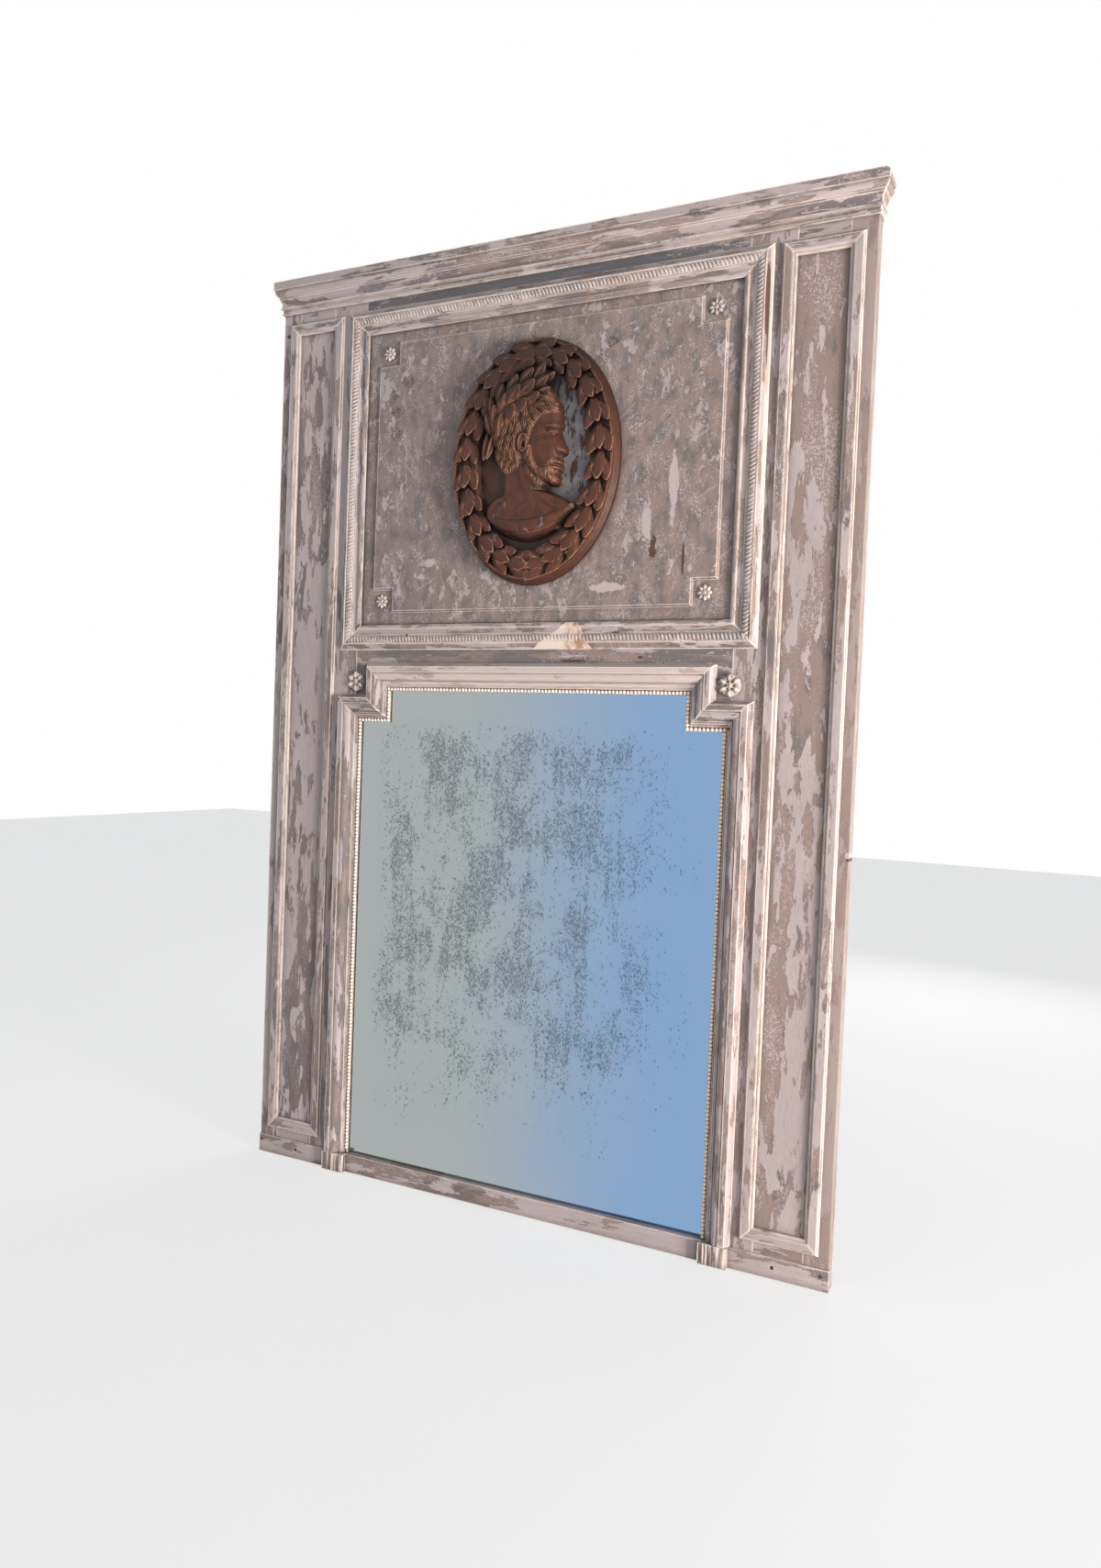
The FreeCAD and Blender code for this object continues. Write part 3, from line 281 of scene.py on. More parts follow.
    def edges(self, radius, low=0.995, high=0.90):
        """1 on sharp edges, 0 on flats, from the rounded normal against the true one."""
        bevel = self.new("ShaderNodeBevel", samples=3)
        bevel.inputs["Radius"].default_value = radius
        true = self.new("ShaderNodeNewGeometry").outputs["True Normal"]
        dot = self.new("ShaderNodeVectorMath", operation="DOT_PRODUCT")
        self.feed(dot.inputs[0], bevel.outputs[0])
        self.feed(dot.inputs[1], true)
        return self.step(dot.outputs["Value"], low, high)

    def cavity(self, distance, low=0.3, high=0.95):
        """1 in tight corners, 0 in the open."""
        node = self.new("ShaderNodeAmbientOcclusion", samples=3)
        node.inputs["Distance"].default_value = distance
        return self.step(node.outputs["AO"], high, low)

    def finish(self, base, rough, height=None, bump=0.3, depth=0.0008, metallic=0.0, specular=0.35):
        shader = self.shader
        self.feed(shader.inputs["Base Color"], base)
        self.feed(shader.inputs["Roughness"], rough)
        self.feed(shader.inputs["Metallic"], metallic)
        shader.inputs["Specular IOR Level"].default_value = specular
        if height is not None:
            node = self.new("ShaderNodeBump")
            node.inputs["Strength"].default_value = bump
            node.inputs["Distance"].default_value = depth
            self.feed(node.inputs["Height"], height)
            self.feed(shader.inputs["Normal"], node.outputs[0])
        return self.material


def worn_paint(name, settings, grain="Z", pale=0.5, grey=0.35, seed=0.0, specks=1.0, chalk_and_highlight=1.0, fine=1.0,
               stretch=0.2, crisp=1.0, wear=2.8, ridges=0.0, grainy=0.10,
               scratches=0.0, lift=0.0, deep=0.72, bands=(), marks=()):
    """Layered paint rubbed through to taupe, grey and wood; flakes run with the grain.

    Marks are local places (kind, x, z, half width, half height), the kinds being the settings' colours;
    bands are upright strips (kind, x from, x to, z from, z to, share).
    """
    n = Nodes(name)
    along = {"X": (stretch, 1, 1), "Y": (1, stretch, 1), "Z": (1, 1, stretch)}[grain]
    hair = {"X": (0.05, 1, 1), "Y": (1, 0.05, 1), "Z": (1, 1, 0.05)}[grain]
    offset = (seed * 3.1, seed * 1.7, seed * 2.3)
    scale = settings.flake_scale * fine
    flow = n.scaled(along, offset)
    wide = n.noise(n.scaled(along, (seed, 0, 0)), scale * 0.22, 2, 0.5)
    flake = n.noise(flow, scale, 7, 0.66, 0.25)
    flake = n.sum("ADD", flake, n.sum("MULTIPLY", n.sum("SUBTRACT", wide, 0.5), 0.5))
    dust = n.noise(n.scaled((1, 1, 0.75), offset), 430, 3, 0.7)
    flake = n.sum("ADD", flake, n.sum("MULTIPLY", n.sum("SUBTRACT", dust, 0.5), grainy))
    edge = 0.62 - pale * 0.24
    top = n.step(flake, edge - 0.006, edge + 0.006)
    rim = n.sum("SUBTRACT", n.step(flake, edge - 0.022, edge - 0.008), top, clamp=True)
    second = n.noise(n.scaled(along, (seed * 5 + 4, 2, 7)), scale * 0.75, 5, 0.62, 0.3)
    dark_edge = 0.64 - grey * 0.25
    soft = 0.015 + 0.09 * (1 - crisp)
    dark = n.step(second, dark_edge - soft, dark_edge + soft)
    streak = n.noise(n.scaled(hair, offset), settings.flake_scale * 20, 2, 0.6)
    patch = n.noise(n.scaled(along, (1 + seed, 9, 4)), scale * 0.6, 4, 0.65)
    speck = n.sum("GREATER_THAN", dust, n.step(patch, 0.38, 0.64, 0.68, 0.53))
    speck = n.sum("MULTIPLY", speck, 0.8 * specks)
    worn = n.sum("GREATER_THAN", dust, n.step(patch, 0.62, 0.38, 0.72, 0.60))
    arris = n.edges(wear * MM, 0.997, 0.94)
    cavity = n.cavity(15 * MM, 0.30, 0.96)
    rub = n.noise(n.scaled(along, (8, seed, 2)), settings.flake_scale * 3.2, 4, 0.65)

    base = n.mix(dark, settings.under_coat, settings.grey_coat_and_shade)
    # Painted shade: greyer and darker toward the left side, away from the key light.
    base = n.mix(n.step(n.axis("X"), -0.65, 0.15, 0.35, 0.0), base, settings.grey_coat_and_shade)
    pale_tone = n.mix(n.step(wide, 0.35, 0.65), settings.top_coat,
                      [v * 0.84 for v in settings.top_coat])
    base = n.mix(speck, base, pale_tone)
    covered = n.mix(n.sum("MULTIPLY", worn, 0.5), pale_tone, settings.under_coat)
    base = n.mix(top, base, covered)
    # Painted shade: dark lines round the flakes stand for the shadow of each flake's edge.
    base = n.mix(n.sum("MULTIPLY", rim, 0.42), base, settings.dirt_and_shade)
    base = n.mix(n.step(streak, 0.40, 0.75, 0.0, 0.22), base, settings.dirt_and_shade)
    tall = n.step(streak, 0.35, 0.65, 0.4, 1.0)
    if scratches:
        for lean, part in ((-62, 0.0), (-46, 3.0)):
            line = n.noise(n.scaled((1, 1, 0.07), (part, 0, part), inner=(0, math.radians(lean), 0)), 120, 3, 0.6)
            line = n.sum("ADD", line, n.sum("MULTIPLY", n.sum("SUBTRACT", dust, 0.5), 0.12))
            base = n.mix(n.step(line, 0.672, 0.690, 0.0, scratches), base, pale_tone)
    if ridges:
        stripe = n.noise(n.scaled(hair, offset), 190, 2, 0.5)
        base = n.mix(n.step(stripe, 0.50, 0.58, 0.0, ridges), base, settings.chalk_and_highlight)
        base = n.mix(n.step(stripe, 0.47, 0.38, 0.0, ridges), base, settings.wood)
        tall = n.step(stripe, 0.35, 0.60, 0.0, 4.0)
    # Real rubbing and painted highlight: cream-pink along sharp arrises, kept out of tight corners.
    arris_chalk_and_highlight = n.sum("MULTIPLY", n.sum("MULTIPLY", arris, n.step(cavity, 0.95, 0.5)),
                   n.step(rub, 0.66, 0.52, 0.40, 1.0))
    base = n.mix(n.sum("MULTIPLY", arris_chalk_and_highlight, chalk_and_highlight), base, settings.chalk_and_highlight)
    hole = n.step(n.noise(n.scaled(along, (seed, 5, 5)), settings.flake_scale * 2.6, 4, 0.7), 0.745, 0.755)
    chip = n.sum("MULTIPLY", n.step(arris, 0.3, 0.6), n.step(rub, 0.665, 0.685))
    bare = n.sum("MAXIMUM", chip, hole)
    base = n.mix(bare, base, settings.wood)
    ragged = n.sum("ADD", n.sum("MULTIPLY", rub, 0.6), n.sum("MULTIPLY", dust, 0.4))
    for kind, left, right, low, high, share in bands:
        loose = n.sum("MULTIPLY", n.sum("SUBTRACT", rub, 0.5), 7 * MM)
        spread = n.sum("ADD", n.axis("X"), loose)
        strip = n.sum("MULTIPLY", n.step(spread, left, left + 0.8 * MM), n.step(spread, right, right - 0.8 * MM))
        strip = n.sum("MULTIPLY", strip, n.sum("MULTIPLY", n.step(n.axis("Z"), low, low + 0.02),
                                               n.step(n.axis("Z"), high, high - 0.02)))
        base = n.mix(n.sum("MULTIPLY", strip, share), base, getattr(settings, kind))
    for kind, x, z, half_w, half_h in marks:
        if kind == "specks":
            mask = n.sum("MULTIPLY", n.spot(x, z, half_w, half_h), n.sum("GREATER_THAN", dust, 0.555))
            base = n.mix(mask, base, [v * 0.3 for v in settings.wood])
            continue
        coarse = flake if kind == "top_coat" else ragged
        mask = n.spot(x, z, half_w, half_h, coarse if min(half_w, half_h) > 4 * MM else None)
        base = n.mix(n.sum("MULTIPLY", mask, 0.9), base, getattr(settings, kind))
        if kind in ("wood", "dirt_and_shade"):
            bare = n.sum("MAXIMUM", bare, mask)
    if lift:
        base = n.mix(lift, base, settings.chalk_and_highlight)
    # Painted shade with some grime: tight corners darken towards this colour, by the share deep.
    base = n.mix(n.sum("MULTIPLY", cavity, deep), base, settings.dirt_and_shade)
    if name == "level_moulding_paint":
        base = n.repair(base, settings)
    # Painted shade: moulding faces deep in the rebate beside the glass are painted near black.
    if "moulding" in name:
        rebate_shade = n.step(n.axis("Y"), FACE_Y + 6.0 * MM, FACE_Y + 8.5 * MM)
        base = n.mix(n.sum("MULTIPLY", rebate_shade, 0.9), base, (0.012, 0.010, 0.010))
    behind = n.behind()
    timber = n.mix(n.step(streak, 0.35, 0.65), settings.timber, [v * 0.45 for v in settings.timber])
    timber = n.mix(n.step(wide, 0.35, 0.70, 0.0, 0.5), timber, [v * 0.6 for v in settings.timber])
    base = n.mix(behind, base, timber)
    height = n.sum("ADD", n.sum("MULTIPLY", top, 0.6), n.sum("MULTIPLY", tall, 0.35))
    height = n.sum("ADD", height, n.sum("MULTIPLY", n.sum("MAXIMUM", dust, speck), 0.35))
    height = n.sum("SUBTRACT", height, bare)
    rough = n.step(dust, 0.3, 0.7, 0.62, 0.86)
    return n.finish(base, rough, height, 0.6, 0.8 * MM)


def carved_wood(name, settings):
    """Dark stained walnut with traces of blue-grey paint; arrises get lighter wood, partly rubbed and partly painted
    highlight, and recesses and the top get painted shade.
    """
    n = Nodes(name)
    grain = n.noise(n.scaled((1, 1, 0.12)), 240, 4, 0.6)
    cloud = n.noise(n.place, 26, 6, 0.6, 0.3)
    fine = n.noise(n.place, 300, 4, 0.65)
    cavity = n.cavity(30 * MM, 0.56, 0.99)
    arris = n.edges(3.4 * MM, 0.985, 0.84)
    base = n.mix(n.step(cloud, 0.3, 0.7), settings.wood_mid, [v * 0.62 for v in settings.wood_mid])
    base = n.mix(n.step(grain, 0.45, 0.8, 0.0, 0.5), base, settings.wood_dark_and_shade)
    # Real rubbing and painted highlight: lighter wood along the arrises.
    base = n.mix(n.sum("MULTIPLY", arris, n.step(fine, 0.35, 0.6, 0.35, 1.0)), base, settings.wood_rubbed_and_highlight)
    # Painted shade: recesses of the carving darken almost to the dark colour.
    base = n.mix(n.sum("MULTIPLY", cavity, 0.92), base, settings.wood_dark_and_shade)
    right = n.sum("MULTIPLY", n.step(n.axis("X"), 0.03, 0.075), n.step(n.axis("X"), 0.135, 0.12))
    tall = n.sum("MULTIPLY", n.step(n.axis("Z"), 1.44, 1.50), n.step(n.axis("Z"), 1.74, 1.69))
    # Painted shade: the carving darkens toward the top.
    top_shade = n.step(n.axis("Z"), 1.56, 1.76, 0.0, 0.55)
    base = n.mix(top_shade, base, settings.wood_dark_and_shade)
    low = n.step(n.axis("Y"), -0.0014, -0.0002)
    ground = n.sum("MULTIPLY", n.sum("MULTIPLY", right, tall), low)
    flaked = n.step(n.noise(n.scaled((1, 1, 0.35)), 55, 8, 0.66), 0.44, 0.50)
    traces = n.step(n.noise(n.scaled((1, 1, 0.5), (4, 1, 1)), 42, 9, 0.7), 0.60, 0.64)
    lower = n.step(n.axis("Z"), 1.60, 1.46, 0.0, 0.55)
    paint = n.sum("MAXIMUM", n.sum("MULTIPLY", ground, flaked), n.sum("MULTIPLY", traces, lower))
    base = n.mix(n.sum("MULTIPLY", paint, 0.72), base, settings.blue_grey)
    height = n.sum("ADD", n.sum("MULTIPLY", grain, 0.4), n.sum("MULTIPLY", fine, 0.5))
    height = n.sum("ADD", height, n.sum("MULTIPLY", paint, 0.4))
    return n.finish(base, n.step(fine, 0.3, 0.7, 0.42, 0.68), height, 0.5, 0.6 * MM, specular=0.32)


def bare_wood(name, seed, grain, tone):
    """Unpainted back timber, oxidised brown, with saw marks."""
    n = Nodes(name)
    along = {"X": (0.05, 1, 1), "Y": (1, 0.05, 1), "Z": (1, 1, 0.05)}[grain]
    fibre = n.noise(n.scaled(along, (seed, seed, 0)), 420, 4, 0.65, 0.3)
    board = n.noise(n.scaled(along, (0, seed, seed)), 30, 5, 0.62, 1.2)
    saw = n.new("ShaderNodeTexWave", wave_type="BANDS",
                bands_direction={"X": "X", "Y": "Y", "Z": "Z"}[grain])
    n.feed(saw.inputs["Vector"], n.place)
    saw.inputs["Scale"].default_value = 42
    saw.inputs["Distortion"].default_value = 2.5
    cavity = n.cavity(30 * MM)
    base = n.mix(n.step(board, 0.35, 0.62), tone, [v * 0.62 for v in tone])
    base = n.mix(n.step(fibre, 0.42, 0.62, 0.0, 0.7), base, [v * 0.38 for v in tone])
    knot = n.spot(0.22 - seed * 0.06, 0.12 + seed * 0.14, 14 * MM, 9 * MM, board)
    base = n.mix(n.sum("MULTIPLY", knot, 0.8), base, (0.03, 0.018, 0.012))
    # Painted shade: tight corners of the back timber darken almost to black.
    base = n.mix(n.sum("MULTIPLY", cavity, 0.7), base, (0.02, 0.015, 0.012))
    height = n.sum("ADD", fibre, n.sum("MULTIPLY", saw.outputs["Fac"], 0.18))
    return n.finish(base, n.step(fibre, 0.3, 0.7, 0.7, 0.9), height, 0.5, 0.6 * MM, specular=0.2)


def rusted_iron(name):
    n = Nodes(name)
    crust = n.noise(n.place, 160, 7, 0.65)
    base = n.mix(n.step(crust, 0.42, 0.6), (0.035, 0.03, 0.028), (0.13, 0.05, 0.022))
    return n.finish(base, n.step(crust, 0.3, 0.7, 0.6, 0.9), crust, 0.5, 0.5 * MM,
                    n.step(crust, 0.6, 0.42, 0.0, 0.4))


def old_mirror(name, settings):
    """Mercury silvering: grey-green to blue, foxed with dark specks that run down."""
    n = Nodes(name)
    x, z = n.axis("X"), n.axis("Z")
    cloud = n.noise(n.place, 5, 5, 0.6)
    blend = n.step(n.sum("ADD", x, n.sum("MULTIPLY", n.sum("SUBTRACT", cloud, 0.5), 0.25)), -0.22, 0.36)
    silver = n.mix(blend, settings.silver_left, settings.silver_right)
    tall = n.sum("MULTIPLY", n.step(z, 0.06, 0.46), n.step(z, 1.04, 0.96))
    across = n.sum("MULTIPLY", n.step(x, -0.39, -0.30), n.step(x, 0.44, 0.10))
    field = n.sum("MULTIPLY", tall, across)
    patch = n.noise(n.scaled((1, 1, 0.7)), 10, 7, 0.70)
    drip = n.noise(n.scaled((1, 1, 0.07)), 75, 3, 0.6)
    field = n.sum("MULTIPLY", field, n.step(patch, 0.40, 0.60, 0.14, 1.0))
    field = n.sum("MULTIPLY", field, n.step(drip, 0.40, 0.58, 0.55, 1.0))
    cell = n.new("ShaderNodeTexVoronoi", feature="F1")
    n.feed(cell.inputs["Vector"], n.scaled((1, 1, 0.6)))
    cell.inputs["Scale"].default_value = 430
    chance = n.new("ShaderNodeSeparateColor")
    n.feed(chance.inputs[0], cell.outputs["Color"])
    speck = n.sum("LESS_THAN", chance.outputs[0], n.step(field, 0.02, 0.80, 0.0, 0.66))
    speck = n.sum("MULTIPLY", speck, n.step(chance.outputs[1], 0.0, 1.0, 0.55, 1.0))
    veil = n.sum("MULTIPLY", field, 0.12)
    haze = n.sum("MAXIMUM", n.sum("MULTIPLY", speck, 0.74), veil)
    base = n.mix(haze, silver, settings.foxing)
    rough = n.sum("ADD", n.sum("MULTIPLY", speck, 0.35), 0.07)
    metal = n.step(speck, 0.0, 1.0, 1.0, 0.65)
    return n.finish(base, rough, None, metallic=metal)


# ---------------------------------------------------------------- pieces
def dress(node, material):
    """Gives a CAD node its material."""
    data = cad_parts[node].data
    data.materials.clear()
    data.materials.append(material)


def piece(name, bm, material, replaces=(), smooth=True):
    """Stores a bmesh as a piece of the object."""
    bmesh.ops.recalc_face_normals(bm, faces=bm.faces)
    data = bpy.data.meshes.new(name)
    bm.to_mesh(data)
    bm.free()
    data.materials.append(material)
    data.polygons.foreach_set("use_smooth", [smooth] * len(data.polygons))
    obj = bpy.data.objects.new(name, data)
    bpy.context.scene.collection.objects.link(obj)
    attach(obj, BODY)
    if replaces:
        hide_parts(*replaces)
    return obj


def stock(name, shape):
    """A unit shape kept as a mesh, to be stamped many times."""
    if name not in bpy.data.meshes:
        bm = bmesh.new()
        shape(bm)
        data = bpy.data.meshes.new(name)
        bm.to_mesh(data)
        bm.free()
    return bpy.data.meshes[name]


def stamp(bm, data, matrix):
    """Adds a copy of a stock shape, moved by a matrix."""
    copy = data.copy()
    copy.transform(matrix)
    bm.from_mesh(copy)
    bpy.data.meshes.remove(copy)


def ball(bm, place, size, turn=None, u=8, v=6):
    """A small egg at a place; size is its three half widths."""
    matrix = Matrix.Translation(place)
    if turn is not None:
        matrix = matrix @ turn
    unit = stock("unit_ball_%d_%d" % (u, v),
                 lambda new: bmesh.ops.create_uvsphere(new, u_segments=u, v_segments=v, radius=1))
    stamp(bm, unit, matrix @ Matrix.Diagonal((*size, 1)))


def at(x, h, z):
    """A point given by its height in front of the carcase's face."""
    return Vector((x, FACE_Y - h, z))


def stations(start, end, pitch, ends=True):
    """Evenly spaced places along a line."""
    line = end - start
    count = max(1, round(line.length / pitch))
    first, last = (0, count) if ends else (0.5, count - 0.5)
    steps = count if ends else count - 1
    return [start + line * ((first + (last - first) * n / steps) / count) for n in range(steps + 1)]


def leaf(bm, matrix, length, width, thick, curl, rng):
    """A laurel leaf: stem at -Z, tip at +Z, its ridge forward along -Y."""
    new = bmesh.new()
    bmesh.ops.create_uvsphere(new, u_segments=12, v_segments=12, radius=1)
    twist = rng.uniform(-0.10, 0.10)
    for vert in new.verts:
        x, y, t = vert.co
        tip = max(t, 0.0)
        stem = max(-t, 0.0)
        wide = x * (1 - 0.42 * tip ** 2) * (1 - 0.28 * stem ** 2)
        rise = -y if y < 0 else -y * 0.35
        rise += 0.55 * math.exp(-(x / 0.16) ** 2) * (1 - t * t) * (1 if y < 0 else 0)
        rise -= 0.30 * abs(x) ** 2 * (1 if y < 0 else 0)
        rise += curl * t * t * (1 if t > 0 else -0.4)
        wide += twist * t * t
        vert.co = matrix @ Vector((wide * width / 2, -rise * thick, t * length / 2))
    data = bpy.data.meshes.new("leaf")
    new.to_mesh(data)
    new.free()
    bm.from_mesh(data)
    bpy.data.meshes.remove(data)


# ---------------------------------------------------------------- the bust's relief, in millimetres
PROFILE = [
    # forward of the forehead and above the nose's base, in thirds of the face
    (-0.30, 2.02), (-0.06, 1.84), (0.0, 1.52), (0.02, 1.22), (0.03, 1.06), (-0.02, 0.95), (-0.06, 0.86),
    (0.02, 0.66), (0.12, 0.44), (0.22, 0.25), (0.245, 0.17), (0.20, 0.08), (0.08, 0.03), (0.02, -0.02),
    (0.035, -0.14), (0.085, -0.24), (0.07, -0.31), (0.02, -0.345), (0.06, -0.39), (0.065, -0.46),
    (0.0, -0.55), (-0.035, -0.62), (0.0, -0.74), (0.02, -0.86), (-0.04, -0.98), (-0.16, -1.04),
    (-0.42, -0.98), (-0.75, -0.84), (-1.05, -0.62), (-1.30, -0.30), (-1.42, 0.10), (-1.55, 0.60),
    (-1.45, 1.20), (-1.15, 1.85), (-0.70, 2.10),
]
NECK = [(-0.52, -0.75), (-0.70, -1.15), (-0.74, -1.50), (-0.62, -1.85), (-0.30, -2.25), (-0.6, -2.7),
        (-1.4, -2.9), (-2.2, -2.6), (-2.62, -2.2), (-2.45, -1.7), (-2.34, -1.2), (-2.36, -0.6), (-2.42, 0.0),
        (-1.9, 0.3), (-1.2, 0.0)]
FOREHEAD = 68.0
GROUND = 11.5
TOP = 55.2


def spline(points, steps=8):
    """A smooth closed line through points."""
    points = np.array(points, float)
    before, after, beyond = np.roll(points, 1, 0), np.roll(points, -1, 0), np.roll(points, -2, 0)
    line = []
    for t in np.linspace(0, 1, steps, endpoint=False):
        line.append(0.5 * (2 * points + (after - before) * t
                           + (2 * before - 5 * points + 4 * after - beyond) * t ** 2
                           + (3 * points - before - 3 * after + beyond) * t ** 3))
    return np.stack(line, 1).reshape(-1, 2)


def inside(x, z, line):
    """Distance in from a closed line, less than nothing outside it."""
    near = np.full(x.shape, 1e9)
    within = np.zeros(x.shape, bool)
    for (x0, z0), (x1, z1) in zip(line, np.roll(line, -1, 0)):
        dx, dz = x1 - x0, z1 - z0
        t = np.clip(((x - x0) * dx + (z - z0) * dz) / (dx * dx + dz * dz + 1e-9), 0, 1)
        near = np.minimum(near, (x - x0 - t * dx) ** 2 + (z - z0 - t * dz) ** 2)
        if z0 != z1:
            within ^= ((z0 > z) != (z1 > z)) & (x < dx * (z - z0) / dz + x0)
    return np.sqrt(near) * np.where(within, 1, -1)


def dome(distance, reach):
    """Quarter round: 0 at the line, 1 at its reach inside."""
    t = np.clip(1 - distance / reach, 0, 1)
    return np.sqrt(1 - t * t)


def higher(a, b, soft):
    """The higher of two surfaces, with a soft join."""
    t = np.clip(0.5 + 0.5 * (a - b) / soft, 0, 1)
    return b + (a - b) * t + soft * t * (1 - t)


class Relief:
    """A field of heights over the medallion's ground, shaped by soft bumps in thirds of the face."""

    def __init__(self, third, pitch):
        self.third = third
        xs, zs = np.arange(-118, 112, pitch), np.arange(-182, 176, pitch)
        self.x, self.z = np.meshgrid(xs, zs)
        self.u, self.v = (self.x - FOREHEAD) / third, self.z / third
        self.h = np.full(self.x.shape, GROUND - 4.0)

    def outline(self, points):
        return inside(self.x, self.z, spline([(FOREHEAD + u * self.third, v * self.third) for u, v in points]))

    def bump(self, u, v, ru, rv, lean=0.0):
        """A soft bump, 1 at its middle."""
        a = math.radians(lean)
        du, dv = self.u - u, self.v - v
        along, across = du * math.cos(a) + dv * math.sin(a), -du * math.sin(a) + dv * math.cos(a)
        return np.exp(-(along / ru) ** 2 - (across / rv) ** 2)

    def ridge(self, points, width):
        """A soft ridge along a line of points, tapered at its ends."""
        best = np.zeros(self.x.shape)
        for (u0, v0, w0), (u1, v1, w1) in zip(points, points[1:]):
            du, dv = u1 - u0, v1 - v0
            t = np.clip(((self.u - u0) * du + (self.v - v0) * dv) / (du * du + dv * dv), 0, 1)
            far = (self.u - u0 - t * du) ** 2 + (self.v - v0 - t * dv) ** 2
            best = np.maximum(best, (w0 + (w1 - w0) * t) * np.exp(-far / width ** 2))
        return best

    def head(self):
        edge = self.outline(PROFILE)
        skull = 1 - np.hypot((self.u + 1.46) / 1.33, (self.v - 1.25) / 1.52)
        face = GROUND - 4 + 4 + 24 * dome(edge, 15) + 13 * dome(edge, 62)
        face = np.where(edge > 0, face, GROUND - 4)
        bone = np.where(skull > 0, GROUND + 21 * dome(skull, 0.20) + 15 * dome(skull, 1.0), GROUND - 4)
        h = higher(face, bone, 7.0)
        far = np.where(edge > 0, dome(edge, 9), 0)
        h += far * (3.4 * self.bump(-0.26, 0.99, 0.30, 0.085, -12) - 8.5 * self.bump(-0.36, 0.79, 0.27, 0.15, -6)
                    + 3.6 * self.bump(-0.72, 0.44, 0.36, 0.22, 14) - 2.6 * self.bump(-0.80, -0.30, 0.30, 0.34)
                    - 2.0 * self.bump(-0.95, 1.12, 0.25, 0.30) + 2.4 * self.bump(-0.12, -0.84, 0.20, 0.15)
                    - 2.4 * self.bump(-0.10, -0.60, 0.16, 0.065) - 2.6 * self.bump(-0.02, 0.62, 0.10, 0.26, -26)
                    + 3.4 * self.bump(0.0, 0.11, 0.095, 0.10) - 2.8 * self.bump(0.08, 0.045, 0.055, 0.025, 14)
                    - 1.6 * self.bump(-0.11, 0.14, 0.025, 0.11, 12) - 1.4 * self.bump(-0.10, -0.10, 0.10, 0.10))
        h += far * (2.6 * self.ridge([(0.05, -0.24, 1), (-0.10, -0.25, 0.9), (-0.27, -0.33, 0.2)], 0.055)
                    - 4.0 * self.ridge([(0.05, -0.345, 1), (-0.14, -0.335, 0.9), (-0.32, -0.36, 0.5)], 0.024)
                    + 3.0 * self.ridge([(0.04, -0.43, 1), (-0.10, -0.44, 0.9), (-0.25, -0.38, 0.2)], 0.06)
                    - 1.6 * self.bump(-0.33, -0.36, 0.05, 0.06)
                    - 1.0 * self.ridge([(-0.12, 0.10, 1), (-0.28, -0.10, 0.8), (-0.38, -0.32, 0.2)], 0.05))
        self.h = higher(h, self.h, 0.5)
        self.eye()

    def eye(self):
        u, v = -0.345, 0.755
        r = np.hypot((self.u - u) / 1.12, self.v - v)
        ball = np.clip(1 - (r / 0.148) ** 2, 0, 1) ** 0.5
        level = self.h[np.hypot(self.u - u, self.v - v) < 0.03].mean()
        self.h = higher(self.h, np.where(ball > 0, level - 3.4 + 7.6 * ball, 0), 0.8)
        front, back = (u + 0.155, v - 0.03, 0.5), (u - 0.20, v - 0.05, 0.4)
        upper = [front, (u + 0.10, v + 0.075, 1), (u, v + 0.105, 1), (u - 0.11, v + 0.06, 1), back]
        lower = [front, (u + 0.08, v - 0.085, 0.9), (u - 0.02, v - 0.105, 1), (u - 0.12, v - 0.085, 0.9), back]
        crease = [(a + (a - u) * 0.28, b + 0.045, w) for a, b, w in upper]
        self.h += 2.5 * self.ridge(upper, 0.030) + 1.5 * self.ridge(lower, 0.028)
        self.h -= 1.6 * self.ridge(crease, 0.022)
        self.h -= 1.0 * self.bump(u + 0.035, v, 0.030, 0.034)
        self.h += 0.9 * self.ridge([(-0.02, 0.985, 0.8), (-0.2, 1.06, 1), (-0.42, 1.03, 1), (-0.6, 0.90, 0.3)], 0.05)

    def ear(self):
        u, v = -1.36, 0.50
        a = math.radians(-8)
        du, dv = self.u - u, self.v - v
        x, z = (du * math.cos(a) + dv * math.sin(a)) / 0.20, (-du * math.sin(a) + dv * math.cos(a)) / 0.35
        r = np.hypot(x, z)
        pad = np.where(r < 1.15, 1 / (1 + np.exp((r - 1.0) / 0.05)), 0)
        rim = np.exp(-((r - 0.86) / 0.15) ** 2) * np.clip(1.15 - x * 0.55 + z * 0.2, 0.25, 1.3)
        inner = np.exp(-((np.hypot(x * 1.15 - 0.1, z * 1.1 + 0.12) - 0.48) / 0.13) ** 2) * (z > -0.55)
        hollow = np.exp(-((x - 0.15) / 0.32) ** 2 - ((z + 0.20) / 0.30) ** 2)
        lobe = np.exp(-((x - 0.05) / 0.45) ** 2 - ((z + 0.86) / 0.26) ** 2)
        self.h += pad * 3.0 + rim * 3.2 + inner * 1.8 * pad - hollow * 6.5 * pad + lobe * 2.6

